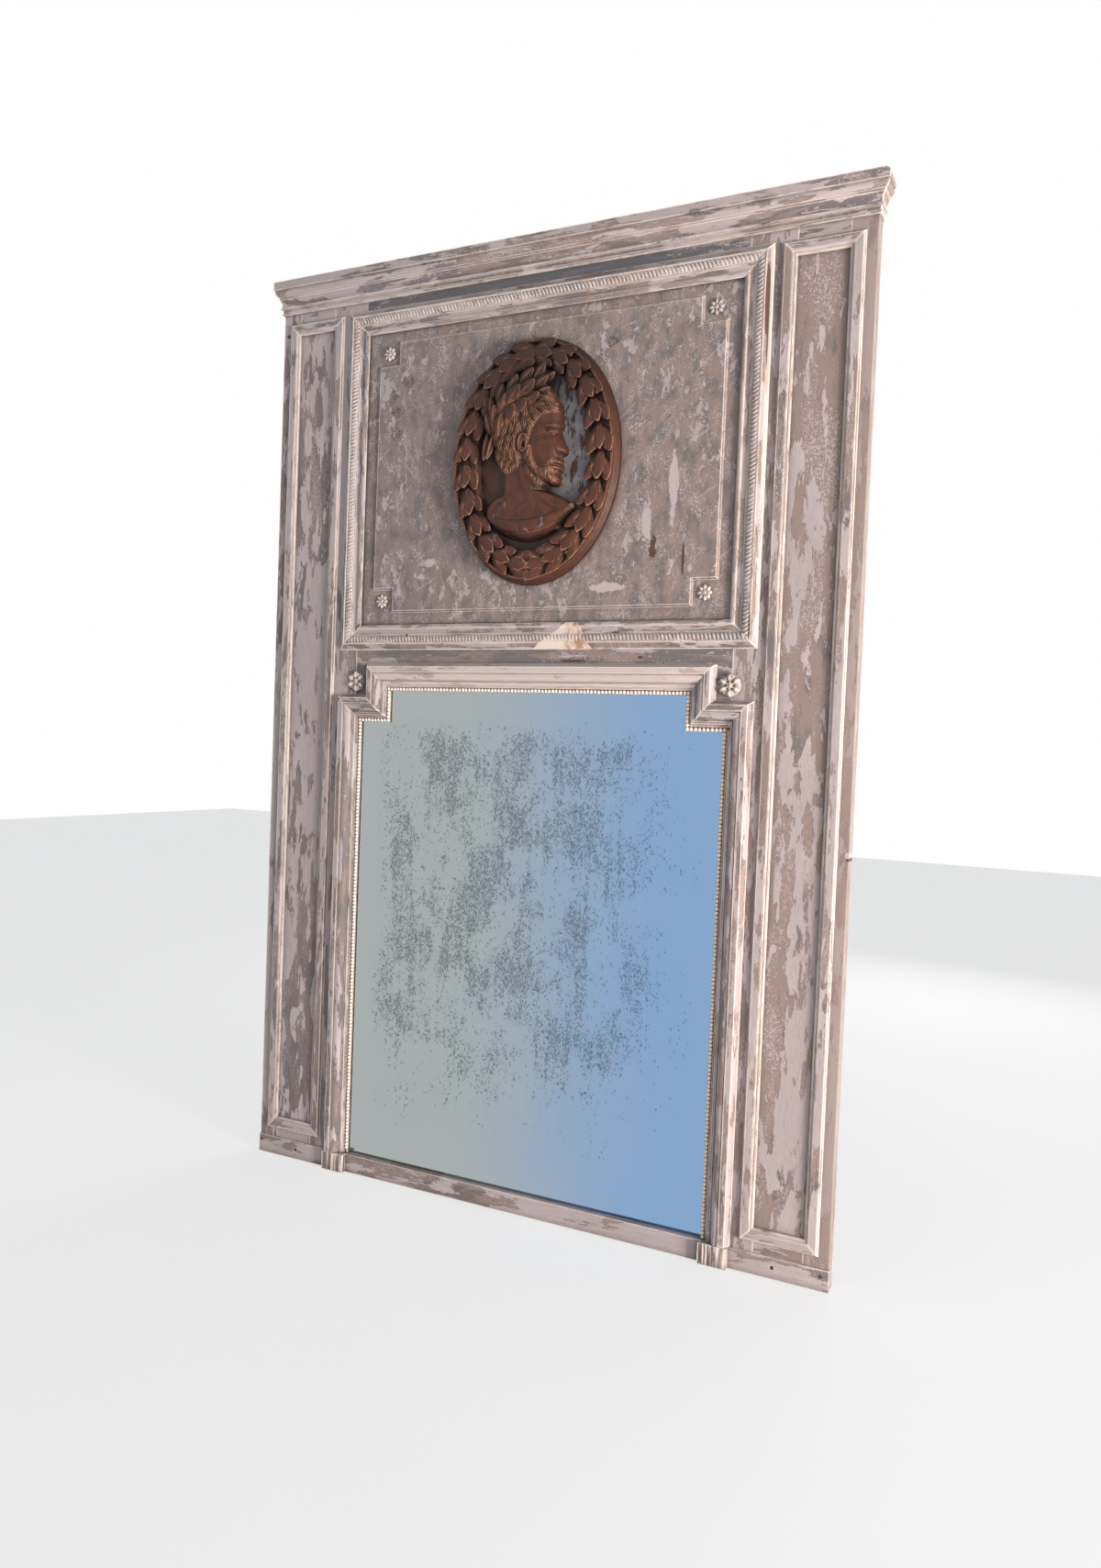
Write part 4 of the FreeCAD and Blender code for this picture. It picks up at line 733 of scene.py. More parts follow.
    def locks(self, line, gap, period, rise, swell, crown, rng):
        """Comma locks that fill a zone, combed away from a crown; the height of each strand."""
        (low_u, low_v), (high_u, high_v) = np.min(line, axis=0), np.max(line, axis=0)
        centres = []
        for _ in range(1400):
            u, v = rng.uniform(low_u, high_u), rng.uniform(low_v, high_v)
            within = inside(np.array([u]), np.array([v]), line)[0] > 0.02
            if within and all(math.hypot(u - a, v - b) > gap for a, b in centres):
                centres.append((u, v))
        near = np.full(self.x.shape, 1e9)
        wave = np.zeros(self.x.shape)
        for u, v in centres:
            lean = math.atan2(v - crown[1], u - crown[0]) + rng.uniform(-0.40, 0.40)
            curl = rng.choice((-1, 1)) * rng.uniform(1.2, 2.6)
            du = (self.u - u) * math.cos(lean) + (self.v - v) * math.sin(lean)
            dv = (self.v - v) * math.cos(lean) - (self.u - u) * math.sin(lean)
            r = np.hypot(du * 0.58, dv * 1.20)
            closer = r < near
            strand = np.cos(2 * math.pi * (dv + curl * du * du) / period)
            value = rise * strand + swell * np.clip(1 - (r / (0.74 * gap)) ** 2, -0.7, 1)
            wave = np.where(closer, value, wave)
            near = np.minimum(near, r)
        return wave

    def beard(self, seed=9):
        """Short beard in small locks over jaw, chin and upper lip."""
        line = spline([(-1.20, 0.36), (-1.04, 0.34), (-1.00, -0.02), (-0.84, -0.34), (-0.58, -0.50), (-0.40, -0.46),
                       (-0.36, -0.26), (-0.22, -0.13), (0.04, -0.16), (0.16, -0.26), (0.10, -0.60), (0.12, -0.96),
                       (-0.16, -1.12), (-0.60, -1.10), (-1.02, -0.82), (-1.30, -0.36), (-1.34, 0.02)], 6)
        zone = inside(self.u, self.v, line)
        mouth = np.clip(1.25 * self.bump(-0.02, -0.345, 0.30, 0.085), 0, 1)
        share = (1 - mouth) / (1 + np.exp(-zone / 0.03))
        wave = self.locks(line, 0.135, 0.078, 1.3, 1.8, (-0.75, 0.9), random.Random(seed))
        solid = 1 / (1 + np.exp(-(self.h - GROUND - 3) / 1.0))
        self.h += share * solid * (1.4 + wave)

    def hair(self, seed=5):
        """Short locks combed over the skull to brow, ear and nape."""
        rng = random.Random(seed)
        skull = 1 - np.hypot((self.u + 1.46) / 1.40, (self.v - 1.25) / 1.58)
        line = spline([(0.02, 1.55), (-0.30, 1.50), (-0.62, 1.42), (-0.92, 1.16), (-1.08, 0.86), (-1.14, 0.62),
                       (-1.20, 0.86), (-1.42, 0.96), (-1.60, 0.72), (-1.62, 0.34), (-1.50, 0.06), (-1.62, -0.25),
                       (-1.90, -0.42), (-2.25, -0.45), (-2.6, 0.0), (-3.0, 1.2), (-2.4, 2.6), (-1.2, 3.1),
                       (0.0, 2.5), (0.12, 1.9)], 6)
        zone = inside(self.u, self.v, line)
        nape = 1 - np.hypot((self.u + 2.0) / 0.72, (self.v - 0.25) / 0.86)
        share = 1 / (1 + np.exp(-zone / 0.022))
        body = np.maximum(np.where(skull > 0, GROUND + 24 * dome(skull, 0.22) + 12 * dome(skull, 0.9), 0),
                          np.where(nape > 0, GROUND + 25 * dome(nape, 0.45), 0))
        wave = self.locks(line, 0.225, 0.088, 1.9, 3.2, (-1.5, 2.35), rng)
        mound = higher(body, self.h, 3.0)
        self.h = np.where((zone > -0.1) & ((skull > -0.02) | (nape > -0.02)),
                          self.h + (mound + 1.5 + wave - self.h) * share, self.h)

    def neck(self):
        edge = self.outline(NECK)
        base = np.where(edge > 0, GROUND + 17 * dome(edge, 16) + 8 * dome(edge, 50), GROUND - 4)
        base += np.where(edge > 0, 1, 0) * (
            3.2 * self.ridge([(-1.70, 0.05, 0.6), (-1.35, -0.9, 1), (-0.95, -1.75, 1)], 0.15)
            - 2.2 * self.ridge([(-1.25, -0.6, 0.4), (-0.92, -1.2, 1), (-0.80, -1.75, 0.8)], 0.11)
            + 1.6 * self.ridge([(-0.86, -1.05, 1), (-0.82, -1.40, 1)], 0.12)
            + 2.2 * self.ridge([(-2.2, -0.8, 0.7), (-2.05, -1.8, 1)], 0.22))
        self.h = higher(self.h, base, 1.5)

    def robe(self):
        """Chest cut off in a thick rolled hem, with folds of cloth at the shoulders."""
        x, z = self.x, self.z
        across = np.clip(1 - (x / 97.0) ** 2, 0, 1)
        hem = -104 - 31 * across + 0.06 * x
        thick = 3.5 + 10.5 * np.sqrt(across)
        chest_top = -58 - 30 * (x + 6) ** 2 / 90.0 ** 2
        chest = np.minimum(chest_top - z, (z - hem) + 4)
        level = GROUND + 14 + 11 * np.sqrt(across)
        body = np.where((chest > 0) & (across > 0), GROUND + (level - GROUND) * dome(chest, 10), GROUND - 4)
        folds = (3.2 * self.ridge([(-2.95, -1.85, 0.4), (-2.45, -1.35, 1), (-2.15, -0.75, 0.5)], 0.085)
                 + 3.2 * self.ridge([(-2.7, -1.95, 0.5), (-2.15, -1.60, 1), (-1.75, -1.15, 0.3)], 0.085)
                 + 3.0 * self.ridge([(-2.1, -2.05, 0.5), (-1.6, -1.86, 1), (-1.15, -1.55, 0.4)], 0.08)
                 + 3.4 * self.ridge([(0.25, -1.85, 0.6), (-0.25, -1.72, 1), (-0.66, -1.40, 0.5)], 0.085)
                 + 2.4 * self.ridge([(0.05, -2.05, 0.5), (-0.5, -1.98, 1), (-1.0, -1.80, 0.3)], 0.075))
        body += np.where(chest > -3, folds, 0)
        roll = np.clip(1 - ((z - hem) / thick) ** 2, 0, 1) ** 0.5
        roll = np.where((roll > 0) & (across > 0), GROUND + (level - GROUND) * 0.9 + roll * (3 + 7 * across), 0)
        under = np.clip(1 - (hem - z) / (18 + 14 * across), 0, 1)
        under = np.where((z < hem) & (across > 0), GROUND - 4 + (level - GROUND + 5) * under ** 0.7, 0)
        self.h = higher(self.h, body, 2.0)
        self.h = higher(self.h, np.maximum(roll, under), 1.2)

    def mesh(self, bm):
        """A closed sheet over the field, with its foot sunk in the ground."""
        rows, columns = self.x.shape
        rough = np.array([[noise.noise(Vector((a * 0.09, b * 0.09, 3))) for a in self.x[0]] for b in self.z[:, 0]])
        h = np.minimum(self.h + rough * 0.55, TOP)
        h = np.maximum(h, GROUND - 2.5)
        bmesh.ops.create_grid(bm, x_segments=columns - 1, y_segments=rows - 1, size=1)
        bm.verts.ensure_lookup_table()
        order = sorted(bm.verts, key=lambda vert: (round(vert.co.y, 6), round(vert.co.x, 6)))
        for vert, x, z, y in zip(order, self.x.ravel(), self.z.ravel(), h.ravel()):
            vert.co = Vector((x * MM, FACE_Y - y * MM, MEDAL_Z + z * MM))
        low = FACE_Y - (GROUND - 2.4) * MM
        bmesh.ops.delete(bm, geom=[f for f in bm.faces if all(v.co.y > low for v in f.verts)], context="FACES")
        rim = [e for e in bm.edges if e.is_boundary]
        for vert in {v for e in rim for v in e.verts}:
            vert.co.y = FACE_Y - (GROUND - 2.5) * MM
        bmesh.ops.holes_fill(bm, edges=rim, sides=0)


# ---------------------------------------------------------------- operators
class TRUMEAU_OT_stage(bpy.types.Operator):
    """Camera at the photograph's angle, pale floor and soft studio light"""
    bl_idname = "trumeau.stage"
    bl_label = "Stage"

    def execute(self, context):
        settings = context.scene.trumeau_stage
        camera = bpy.data.objects.new("camera", bpy.data.cameras.new("camera"))
        camera.data.lens = settings.lens
        camera.data.sensor_width = 36
        camera.data.clip_start = 0.05
        camera.data.clip_end = 100
        camera.matrix_world = (Matrix.Translation((1.0586, FACE_Y - 2.020, 0.978))
                               @ Matrix.Rotation(math.radians(26.3), 4, "Z")
                               @ Matrix.Rotation(math.radians(90 - 2.0), 4, "X")
                               @ Matrix.Rotation(math.radians(2.23), 4, "Z"))
        context.scene.collection.objects.link(camera)
        context.scene.camera = camera
        self.floor(context, settings)
        self.lights(context, settings)
        context.scene.view_settings.view_transform = "Standard"
        return {"FINISHED"}

    def floor(self, context, settings):
        bm = bmesh.new()
        bmesh.ops.create_grid(bm, x_segments=1, y_segments=1, size=9)
        data = bpy.data.meshes.new("floor")
        bm.to_mesh(data)
        bm.free()
        n = Nodes("floor_paint")
        tone = n.noise(n.place, 3, 3, 0.5)
        n.finish(n.mix(n.step(tone, 0.3, 0.7, 0.0, 0.06), settings.floor, (0.6, 0.6, 0.6)), 0.85)
        path = n.new("ShaderNodeLightPath")
        white = n.new("ShaderNodeEmission")
        both = n.new("ShaderNodeMixShader")
        gloss = n.sum("MAXIMUM", path.outputs["Is Glossy Ray"], path.outputs["Is Transmission Ray"])
        seen = n.sum("MULTIPLY", path.outputs["Is Camera Ray"], 0.62)
        n.feed(both.inputs[0], n.sum("MAXIMUM", gloss, seen))
        n.feed(both.inputs[1], n.shader.outputs[0])
        n.feed(both.inputs[2], white.outputs[0])
        n.feed(n.tree.nodes["Material Output"].inputs["Surface"], both.outputs[0])
        data.materials.append(n.material)
        floor = bpy.data.objects.new("floor", data)
        floor.location.z = -0.001
        context.scene.collection.objects.link(floor)

    def lights(self, context, settings):
        world = bpy.data.worlds.new("studio")
        world.use_nodes = True
        context.scene.world = world
        tree = world.node_tree
        back = tree.nodes["Background"]
        back.inputs["Color"].default_value = (0.90, 0.945, 1.0, 1)
        back.inputs["Strength"].default_value = settings.fill
        white = tree.nodes.new("ShaderNodeBackground")
        white.inputs["Color"].default_value = (1, 1, 1, 1)
        white.inputs["Strength"].default_value = 1.0
        path = tree.nodes.new("ShaderNodeLightPath")
        seen = tree.nodes.new("ShaderNodeMath")
        seen.operation = "MAXIMUM"
        also = tree.nodes.new("ShaderNodeMath")
        also.operation = "MAXIMUM"
        mix = tree.nodes.new("ShaderNodeMixShader")
        tree.links.new(path.outputs["Is Camera Ray"], seen.inputs[0])
        tree.links.new(path.outputs["Is Glossy Ray"], seen.inputs[1])
        tree.links.new(seen.outputs[0], also.inputs[0])
        tree.links.new(path.outputs["Is Transmission Ray"], also.inputs[1])
        tree.links.new(also.outputs[0], mix.inputs[0])
        tree.links.new(back.outputs[0], mix.inputs[1])
        tree.links.new(white.outputs[0], mix.inputs[2])
        tree.links.new(mix.outputs[0], tree.nodes["World Output"].inputs["Surface"])
        lamps = [("key", (4.2, -1.5, 0.45), (0.0, 0.0, 1.0), 1.2, settings.key, (1.0, 0.92, 0.85)),
                 ("low_warm", (2.6, -2.6, 0.25), (0.5, 0.0, 0.55), 0.6, settings.key * 0.07, (1.0, 0.66, 0.44)),
                 ("rim", (-1.6, -2.6, 2.6), (0.0, 0.0, 1.2), 2.0, settings.key * 0.03, (0.9, 0.95, 1.0)),
                 ("back_fill", (0.6, 3.2, 1.8), (0.0, 0.0, 1.0), 2.2, settings.key * 0.11, (1.0, 0.98, 0.95))]
        for name, place, aim, size, power, tint in lamps:
            data = bpy.data.lights.new(name, "AREA")
            data.shape = "DISK"
            data.size = size
            data.energy = power
            data.color = tint
            lamp = bpy.data.objects.new(name, data)
            lamp.location = place
            lamp.rotation_euler = (Vector(aim) - Vector(place)).to_track_quat("-Z", "Y").to_euler()
            context.scene.collection.objects.link(lamp)


class TRUMEAU_OT_carcase(bpy.types.Operator):
    """Worn paint on the stiles, rails, panels, mouldings, cornice and base"""
    bl_idname = "trumeau.carcase"
    bl_label = "Painted carcase"

    def execute(self, context):
        s = context.scene.trumeau_paint
        knots = {"left": [("wood", -0.652, 1.890, 7 * MM, 5 * MM), ("dirt_and_shade", -0.640, 0.62, 2 * MM, 40 * MM)],
                 "right": [("top_coat", 0.6615, 0.80, 4 * MM, 6 * MM), ("wood", 0.6630, 0.792, 3 * MM, 3 * MM)]}
        tones = {"left": (), "right": [("under_coat", 0.600, 0.70, -0.1, 2.1, 0.60),
                                       ("wood", 0.47, 0.52, -0.1, 2.1, 0.05)]}
        # Painted light on the right mouldings: a cream painted highlight on the slope that faces the key light and a
        # dark painted shadow line beside it.
        slope_highlight_and_shade = {"left": (), "right": [("chalk_and_highlight", 0.4720, 0.4860, 1.185, 1.925, 0.30),
                                        ("dirt_and_shade", 0.4870, 0.4905, 1.185, 1.925, 0.45)]}
        splits = {"left": [("wood", -0.425, 1.027, 4 * MM, 7 * MM), ("wood", -0.468, 1.066, 4 * MM, 6 * MM),
                           ("wood", -0.422, 1.221, 15 * MM, 8 * MM)],
                  "right": [("wood", 0.4700, 1.815, 3.6 * MM, 72 * MM), ("wood", 0.4635, 1.215, 2.4 * MM, 26 * MM),
                            ("wood", 0.430, 1.022, 4 * MM, 4 * MM), ("dirt_and_shade", 0.4727, 1.780, 1.6 * MM, 100 * MM)]}
        for number, side in enumerate(SIDES):
            seed = 1.0 + number * 2.6
            left = side == "left"
            stile = worn_paint("stile_paint_" + side, s, "Z", 0.60 if left else 0.56, 0.5 if left else 0.2, seed,
                               fine=1.25, crisp=0.6, bands=tones[side], marks=knots[side])
            across = worn_paint("side_rail_paint_" + side, s, "X", 0.45, 0.5, seed + 0.7)
            panel = worn_paint("side_panel_paint_" + side, s, "Z", 0.60 if left else 0.40, 0.55 if left else 0.15,
                               seed + 1.3, 1.2, 1.0, 1.1, 0.25, 0.6)
            upright = worn_paint("upright_moulding_paint_" + side, s, "Z", 0.52, 0.5 if left else 0.3, seed + 2.1,
                                 fine=1.5, wear=3.6, bands=slope_highlight_and_shade[side], marks=splits[side])
            level = worn_paint("level_moulding_paint_" + side, s, "X", 0.5, 0.4, seed + 2.9, fine=1.5, wear=3.6)
            for node in ("outer_stile_", "inner_stile_"):
                dress(node + side, stile)
            for node in ("side_top_rail_", "side_bottom_rail_"):
                dress(node + side, across)
            dress("side_panel_" + side, panel)
            for node in ("pilaster_frame_inner_", "pilaster_frame_outer_", "picture_frame_side_",
                         "mirror_frame_upright_", "mirror_frame_ear_upright_"):
                dress(node + side, upright)
            for node in ("pilaster_frame_top_", "pilaster_frame_bottom_", "mirror_frame_ear_"):
                dress(node + side, level)
            dress("cornice_return_" + side, worn_paint("cornice_end_paint_" + side, s, "Y", 0.5, 0.5, seed + 3))
            dress("plinth_block_" + side, worn_paint("plinth_paint_" + side, s, "Z", 0.35, 0.3, seed + 4, 0.6,
                                                     0.8, 2.0, ridges=0.75))
        # Painted shade: blue-grey shadow under the cornice across the top rail, with a thin shadow line on the
        # right.
        rails = worn_paint("rail_paint", s, "X", 0.42, 0.6, 7.0, fine=1.4, crisp=0.7, marks=[
            ("shade", -0.02, 1.9265, 0.50, 13 * MM), ("shade", 0.30, 1.906, 0.16, 4 * MM)])
        for node in ("centre_top_rail", "centre_bottom_rail"):
            dress(node, rails)
        dress("mid_rail", worn_paint("mid_rail_paint", s, "X", 0.12, 0.75, 7.6, fine=1.4, crisp=0.7, marks=[
            ("wood", -0.355, 1.099, 5 * MM, 4 * MM), ("wood", 0.385, 1.140, 14 * MM, 3 * MM),
            ("wood", 0.245, 1.157, 6 * MM, 3 * MM), ("wood", 0.10, 1.150, 30 * MM, 2.6 * MM)]))
        mouldings = worn_paint("level_moulding_paint", s, "X", 0.52, 0.5, 8.3, fine=1.5, wear=3.6, marks=[
            ("wood", 0.400, 1.232, 13 * MM, 6 * MM), ("wood", -0.30, 1.205, 3 * MM, 3 * MM),
            ("wood", 0.240, 1.157, 3 * MM, 3 * MM)])
        for node in ("picture_frame_top", "picture_frame_bottom"):
            dress(node, mouldings)
        dress("mirror_frame_top", worn_paint("long_moulding_paint", s, "X", 0.85, 0.2, 8.9, fine=1.5, wear=3.6,
                                             lift=0.25))
        dress("cornice_front", worn_paint("cornice_paint", s, "X", 0.50, 0.6, 9.1, fine=1.6, wear=3.4))
        dress("base_board", worn_paint("base_paint", s, "X", 0.62, 0.15, 10.4, 0.7, marks=[
            ("wood", -0.660, 0.028, 5 * MM, 4 * MM), ("wood", 0.650, 0.027, 4 * MM, 4 * MM),
            ("dirt_and_shade", 0.560, 0.021, 4 * MM, 4 * MM), ("dirt_and_shade", -0.560, 0.021, 4 * MM, 4 * MM)]))
        dress("picture_panel", worn_paint("picture_panel_paint", s, "Z", 0.03, 0.45, 11.2, 1.25, 1.0, 1.6, 0.6, 0.0,
                                          scratches=0.5, marks=[
            ("specks", -0.318, 1.752, 14 * MM, 14 * MM), ("specks", -0.352, 1.728, 14 * MM, 12 * MM),
            ("specks", -0.345, 1.690, 20 * MM, 12 * MM), ("specks", -0.345, 1.640, 16 * MM, 16 * MM),
            ("specks", 0.138, 1.752, 12 * MM, 16 * MM), ("specks", 0.160, 1.778, 14 * MM, 12 * MM),
            ("wood", 0.262, 1.370, 7 * MM, 24 * MM), ("wood", 0.325, 1.345, 3 * MM, 34 * MM),
            ("top_coat", 0.245, 1.42, 12 * MM, 46 * MM), ("top_coat", 0.300, 1.49, 7 * MM, 60 * MM),
            ("top_coat", -0.250, 1.36, 20 * MM, 9 * MM), ("top_coat", 0.17, 1.295, 44 * MM, 7 * MM)]))
        return {"FINISHED"}


class TRUMEAU_OT_worn_corner(bpy.types.Operator):
    """Top right corner of the cornice, knocked round"""
    bl_idname = "trumeau.worn_corner"
    bl_label = "Worn cornice corner"

    def execute(self, context):
        radius = context.scene.trumeau_trim.corner_radius
        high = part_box("cornice_return_right")[1]
        centre_x, centre_z = high.x - radius, high.z - radius
        for node in ("cornice_front", "cornice_return_right"):
            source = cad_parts[node].data
            bm = bmesh.new()
            bm.from_mesh(source)
            bmesh.ops.remove_doubles(bm, verts=bm.verts, dist=1e-6)
            for n in range(6):
                off = radius * (1 - math.cos(math.pi * n / 12))
                cuts = (((high.x - off - 1e-5, 0, 0), (1, 0, 0)), ((0, 0, high.z - off - 1e-5), (0, 0, 1)))
                for place, normal in cuts:
                    bmesh.ops.bisect_plane(bm, geom=bm.verts[:] + bm.edges[:] + bm.faces[:], dist=1e-6,
                                           plane_co=place, plane_no=normal)
            for vert in bm.verts:
                dx, dz = vert.co.x - centre_x, vert.co.z - centre_z
                far = math.hypot(dx, dz)
                if dx > 0 and dz > 0 and far > radius:
                    vert.co.x, vert.co.z = centre_x + dx * radius / far, centre_z + dz * radius / far
            bmesh.ops.dissolve_degenerate(bm, edges=bm.edges, dist=1e-6)
            piece(node + "_worn", bm, source.materials[0], [node], smooth=False)
        return {"FINISHED"}


class TRUMEAU_OT_glass(bpy.types.Operator):
    """Foxed silvering on the mirror plate"""
    bl_idname = "trumeau.glass"
    bl_label = "Mirror plate"

    def execute(self, context):
        dress("mirror_plate", old_mirror("old_mirror", context.scene.trumeau_glass))
        return {"FINISHED"}


class TRUMEAU_OT_back(bpy.types.Operator):
    """Bare wood and iron of the back"""
    bl_idname = "trumeau.back"
    bl_label = "Back"

    def execute(self, context):
        for number in (1, 2, 3):
            dress("backboard_%d" % number, bare_wood("backboard_wood_%d" % number, number * 2.0, "X",
                                                     (0.24, 0.155, 0.095)))
        dress("mirror_blocks", bare_wood("block_wood", 9.0, "Z", (0.30, 0.20, 0.12)))
        iron = rusted_iron("rusted_iron")
        for node in ("base_nails", "backboard_nails", "plate_nails", "hanging_plate_left",
                     "hanging_plate_right"):
            dress(node, iron)
        return {"FINISHED"}


class TRUMEAU_OT_pearls(bpy.types.Operator):
    """Row of turned pearls along the mirror's sight edge"""
    bl_idname = "trumeau.pearls"
    bl_label = "Pearls"

    def execute(self, context):
        trim = context.scene.trumeau_trim
        radius = trim.pearl_diameter / 2
        s, h = 4.1 * MM, -4.3 * MM
        corners = [(SIGHT_X + s, FRAME_FOOT_Z + radius), (SIGHT_X + s, STEP_Z + s),
                   (UPPER_SIGHT_X + s, STEP_Z + s), (UPPER_SIGHT_X + s, SIGHT_TOP_Z + s)]
        path = corners + [(-x, z) for x, z in reversed(corners)]
        rng = random.Random(4)
        bm = bmesh.new()
        for (x0, z0), (x1, z1) in zip(path, path[1:]):
            for place in stations(at(x0, h, z0), at(x1, h, z1), trim.pearl_pitch)[:-1]:
                wobble = Vector([rng.gauss(0, 0.16) * MM for _ in range(3)])
                size = radius * rng.uniform(0.93, 1.03)
                ball(bm, place + wobble, (size, size * rng.uniform(0.92, 1.0), size), None, 8, 6)
        # deep=0.30 keeps the painted shade in the gaps between pearls faint.
        paint = worn_paint("pearl_paint", context.scene.trumeau_paint, "Z", 1.0, 0.0, 12.7, 0.3, 1.0,
                           lift=0.6, deep=0.30)
        piece("pearls", bm, paint)
        return {"FINISHED"}


class TRUMEAU_OT_ribbon(bpy.types.Operator):
    """Twisted ribbon carved round the picture frame"""
    bl_idname = "trumeau.ribbon"
    bl_label = "Carved ribbon"

    def execute(self, context):
        pitch = context.scene.trumeau_trim.ribbon_pitch
        s, h = 31.6 * MM, 7.0 * MM
        x, low, high = PICTURE_X + s, PICTURE_BOTTOM - s, PICTURE_TOP + s
        corners = [(-x, low, 0), (x, low, 90), (x, high, 180), (-x, high, 270)]
        rng = random.Random(8)
        bm = bmesh.new()
        for n, (x0, z0, turn) in enumerate(corners):
            x1, z1, _ = corners[(n + 1) % 4]
            out = Matrix.Rotation(math.radians(-turn), 4, "Y")
            tilt = out @ Matrix.Rotation(math.radians(-14), 4, "X")
            slant = tilt @ Matrix.Rotation(math.radians(-24), 4, "Y")
            for place in stations(at(x0, h, z0), at(x1, h, z1), pitch, ends=False):
                size = rng.uniform(0.9, 1.05)
                ball(bm, place, (pitch * 0.44, 2.2 * MM * size, 7.2 * MM), slant, 8, 6)
                bead = place + out @ Vector((pitch * 0.5, -1.2 * MM, -7.0 * MM))
                ball(bm, bead, (1.5 * MM, 1.3 * MM, 1.5 * MM), out, 6, 4)
        paint = worn_paint("ribbon_paint", context.scene.trumeau_paint, "Z", 0.75, 0.3, 14.2, 1.0, 0.6)
        piece("carved_ribbon", bm, paint)
        return {"FINISHED"}


class TRUMEAU_OT_rosettes(bpy.types.Operator):
    """Round rosettes by the stepped corners and small ones in the panel's notches"""
    bl_idname = "trumeau.rosettes"
    bl_label = "Rosettes"

    def execute(self, context):
        paint = worn_paint("rosette_paint", context.scene.trumeau_paint, "Z", 0.5, 0.5, 15.1, 1.2, 0.7)
        for side in SIDES:
            self.flower("round_rosette_" + side, 6, 0.94, 0.84, paint)
            for name in ("corner_rosette_upper_", "corner_rosette_lower_"):
                self.flower(name + side, 8, 0.72, 0.60, paint)
        return {"FINISHED"}

    def flower(self, node, petals, ground, wide, paint):
        low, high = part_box(node)
        centre = (low + high) / 2
        radius = (high.x - low.x) / 2
        deep = high.y - low.y
        foot = high.y
        rng = random.Random(sum(node.encode()))
        bm = bmesh.new()
        ball(bm, Vector((centre.x, foot, centre.z)), (radius * ground, deep * 0.46, radius * ground), None, 24, 8)
        for n in range(petals):
            turn = Matrix.Rotation(2 * math.pi * (n + rng.uniform(-0.06, 0.06)) / petals, 4, "Y")
            place = Vector((centre.x, foot - deep * 0.36, centre.z)) + turn @ Vector((0, 0, radius * 0.64))
            leaf(bm, Matrix.Translation(place) @ turn @ Matrix.Rotation(math.radians(-8), 4, "X"),
                 radius * 0.70, radius * wide, deep * 0.42, 0.45, rng)
        ball(bm, Vector((centre.x, foot - deep * 0.58, centre.z)), (radius * 0.25, deep * 0.40, radius * 0.25),
             None, 12, 8)
        for n in range(6):
            turn = Matrix.Rotation(2 * math.pi * n / 6, 4, "Y")
            place = Vector((centre.x, foot - deep * 0.62, centre.z)) + turn @ Vector((0, 0, radius * 0.27))
            ball(bm, place, (radius * 0.10, deep * 0.22, radius * 0.10), None, 8, 6)
        for vert in bm.verts:
            vert.co.y = max(vert.co.y, low.y)
            vert.co.y = min(vert.co.y, foot)
        piece(node + "_carved", bm, paint, [node])


class TRUMEAU_OT_wreath(bpy.types.Operator):
    """Medallion: dark carved ground and a laurel wreath of overlapping leaves"""
    bl_idname = "trumeau.wreath"
    bl_label = "Medallion and wreath"

    def execute(self, context):
        s = context.scene.trumeau_carving
        wood = carved_wood("stained_carving", s)
        dress("medallion_plate", wood)
        bed = WREATH_HIGH.y
        a = (WREATH_HIGH.x - WREATH_LOW.x) / 2 - 19 * MM
        b = a + 60 * MM
        rng = random.Random(21)
        bm = bmesh.new()
        for side in (-1, 1):
            for index in range(s.leaf_stations):
                turn = math.pi * (index + 0.5) / s.leaf_stations
                x, z = a * math.sin(turn), -b * math.cos(turn)
                along = Vector((a * math.cos(turn), 0, b * math.sin(turn))).normalized()
                lean = math.atan2(along.x, along.z)
                outward = Vector((along.z, 0, -along.x))
                rows = [(-1, 0.48, 24, 0.0, 0.55), (1, 0.48, 24, 0.0, 0.55), (0, 0.0, 0, 3.5 * MM, 0.75)]
                for row, off, splay, lift, step in rows:
                    size = rng.uniform(0.92, 1.08)
                    shift = outward * row * off * s.leaf_width + along * (step - 0.6) * s.leaf_length * 0.5
                    place = Vector((x, bed - 5.0 * MM - lift, z + MEDAL_Z)) + shift
                    angle = lean + math.pi - math.radians(row * splay + rng.uniform(-5, 5))
                    turned = (Matrix.Translation(Vector((place.x * side, place.y, place.z)))
                              @ Matrix.Rotation(angle * side, 4, "Y")
                              @ Matrix.Rotation(math.radians(8), 4, "X"))
                    leaf(bm, turned, s.leaf_length * size, s.leaf_width * size, 5.0 * MM, 0.35, rng)
                if index % 2 == 0:
                    berry = Vector((x, bed - 8 * MM, z + MEDAL_Z)) + outward * 13 * MM - along * 20 * MM
                    berry.x *= side
                    ball(bm, berry, (4.2 * MM, 4.2 * MM, 4.2 * MM), None, 10, 8)
        ball(bm, Vector((0, bed - 2 * MM, MEDAL_Z - b)), (26 * MM, 7.5 * MM, 15 * MM), None, 20, 12)
        for x, z in ((0, -6), (-9, 4), (9, 4)):
            ball(bm, Vector((x * MM, bed - 9 * MM, MEDAL_Z - b + z * MM)), (5.5 * MM, 5 * MM, 5.5 * MM), None, 12, 8)
        soft = 3 * MM
        for vert in bm.verts:
            y = vert.co.y + noise.noise(vert.co * 90) * 0.6 * MM
            if y < WREATH_LOW.y + soft:
                y = WREATH_LOW.y + soft * math.exp((y - WREATH_LOW.y) / soft - 1)
            vert.co.y = min(y, bed + 1 * MM)
        piece("laurel_wreath_carved", bm, wood, ["laurel_wreath"])
        return {"FINISHED"}


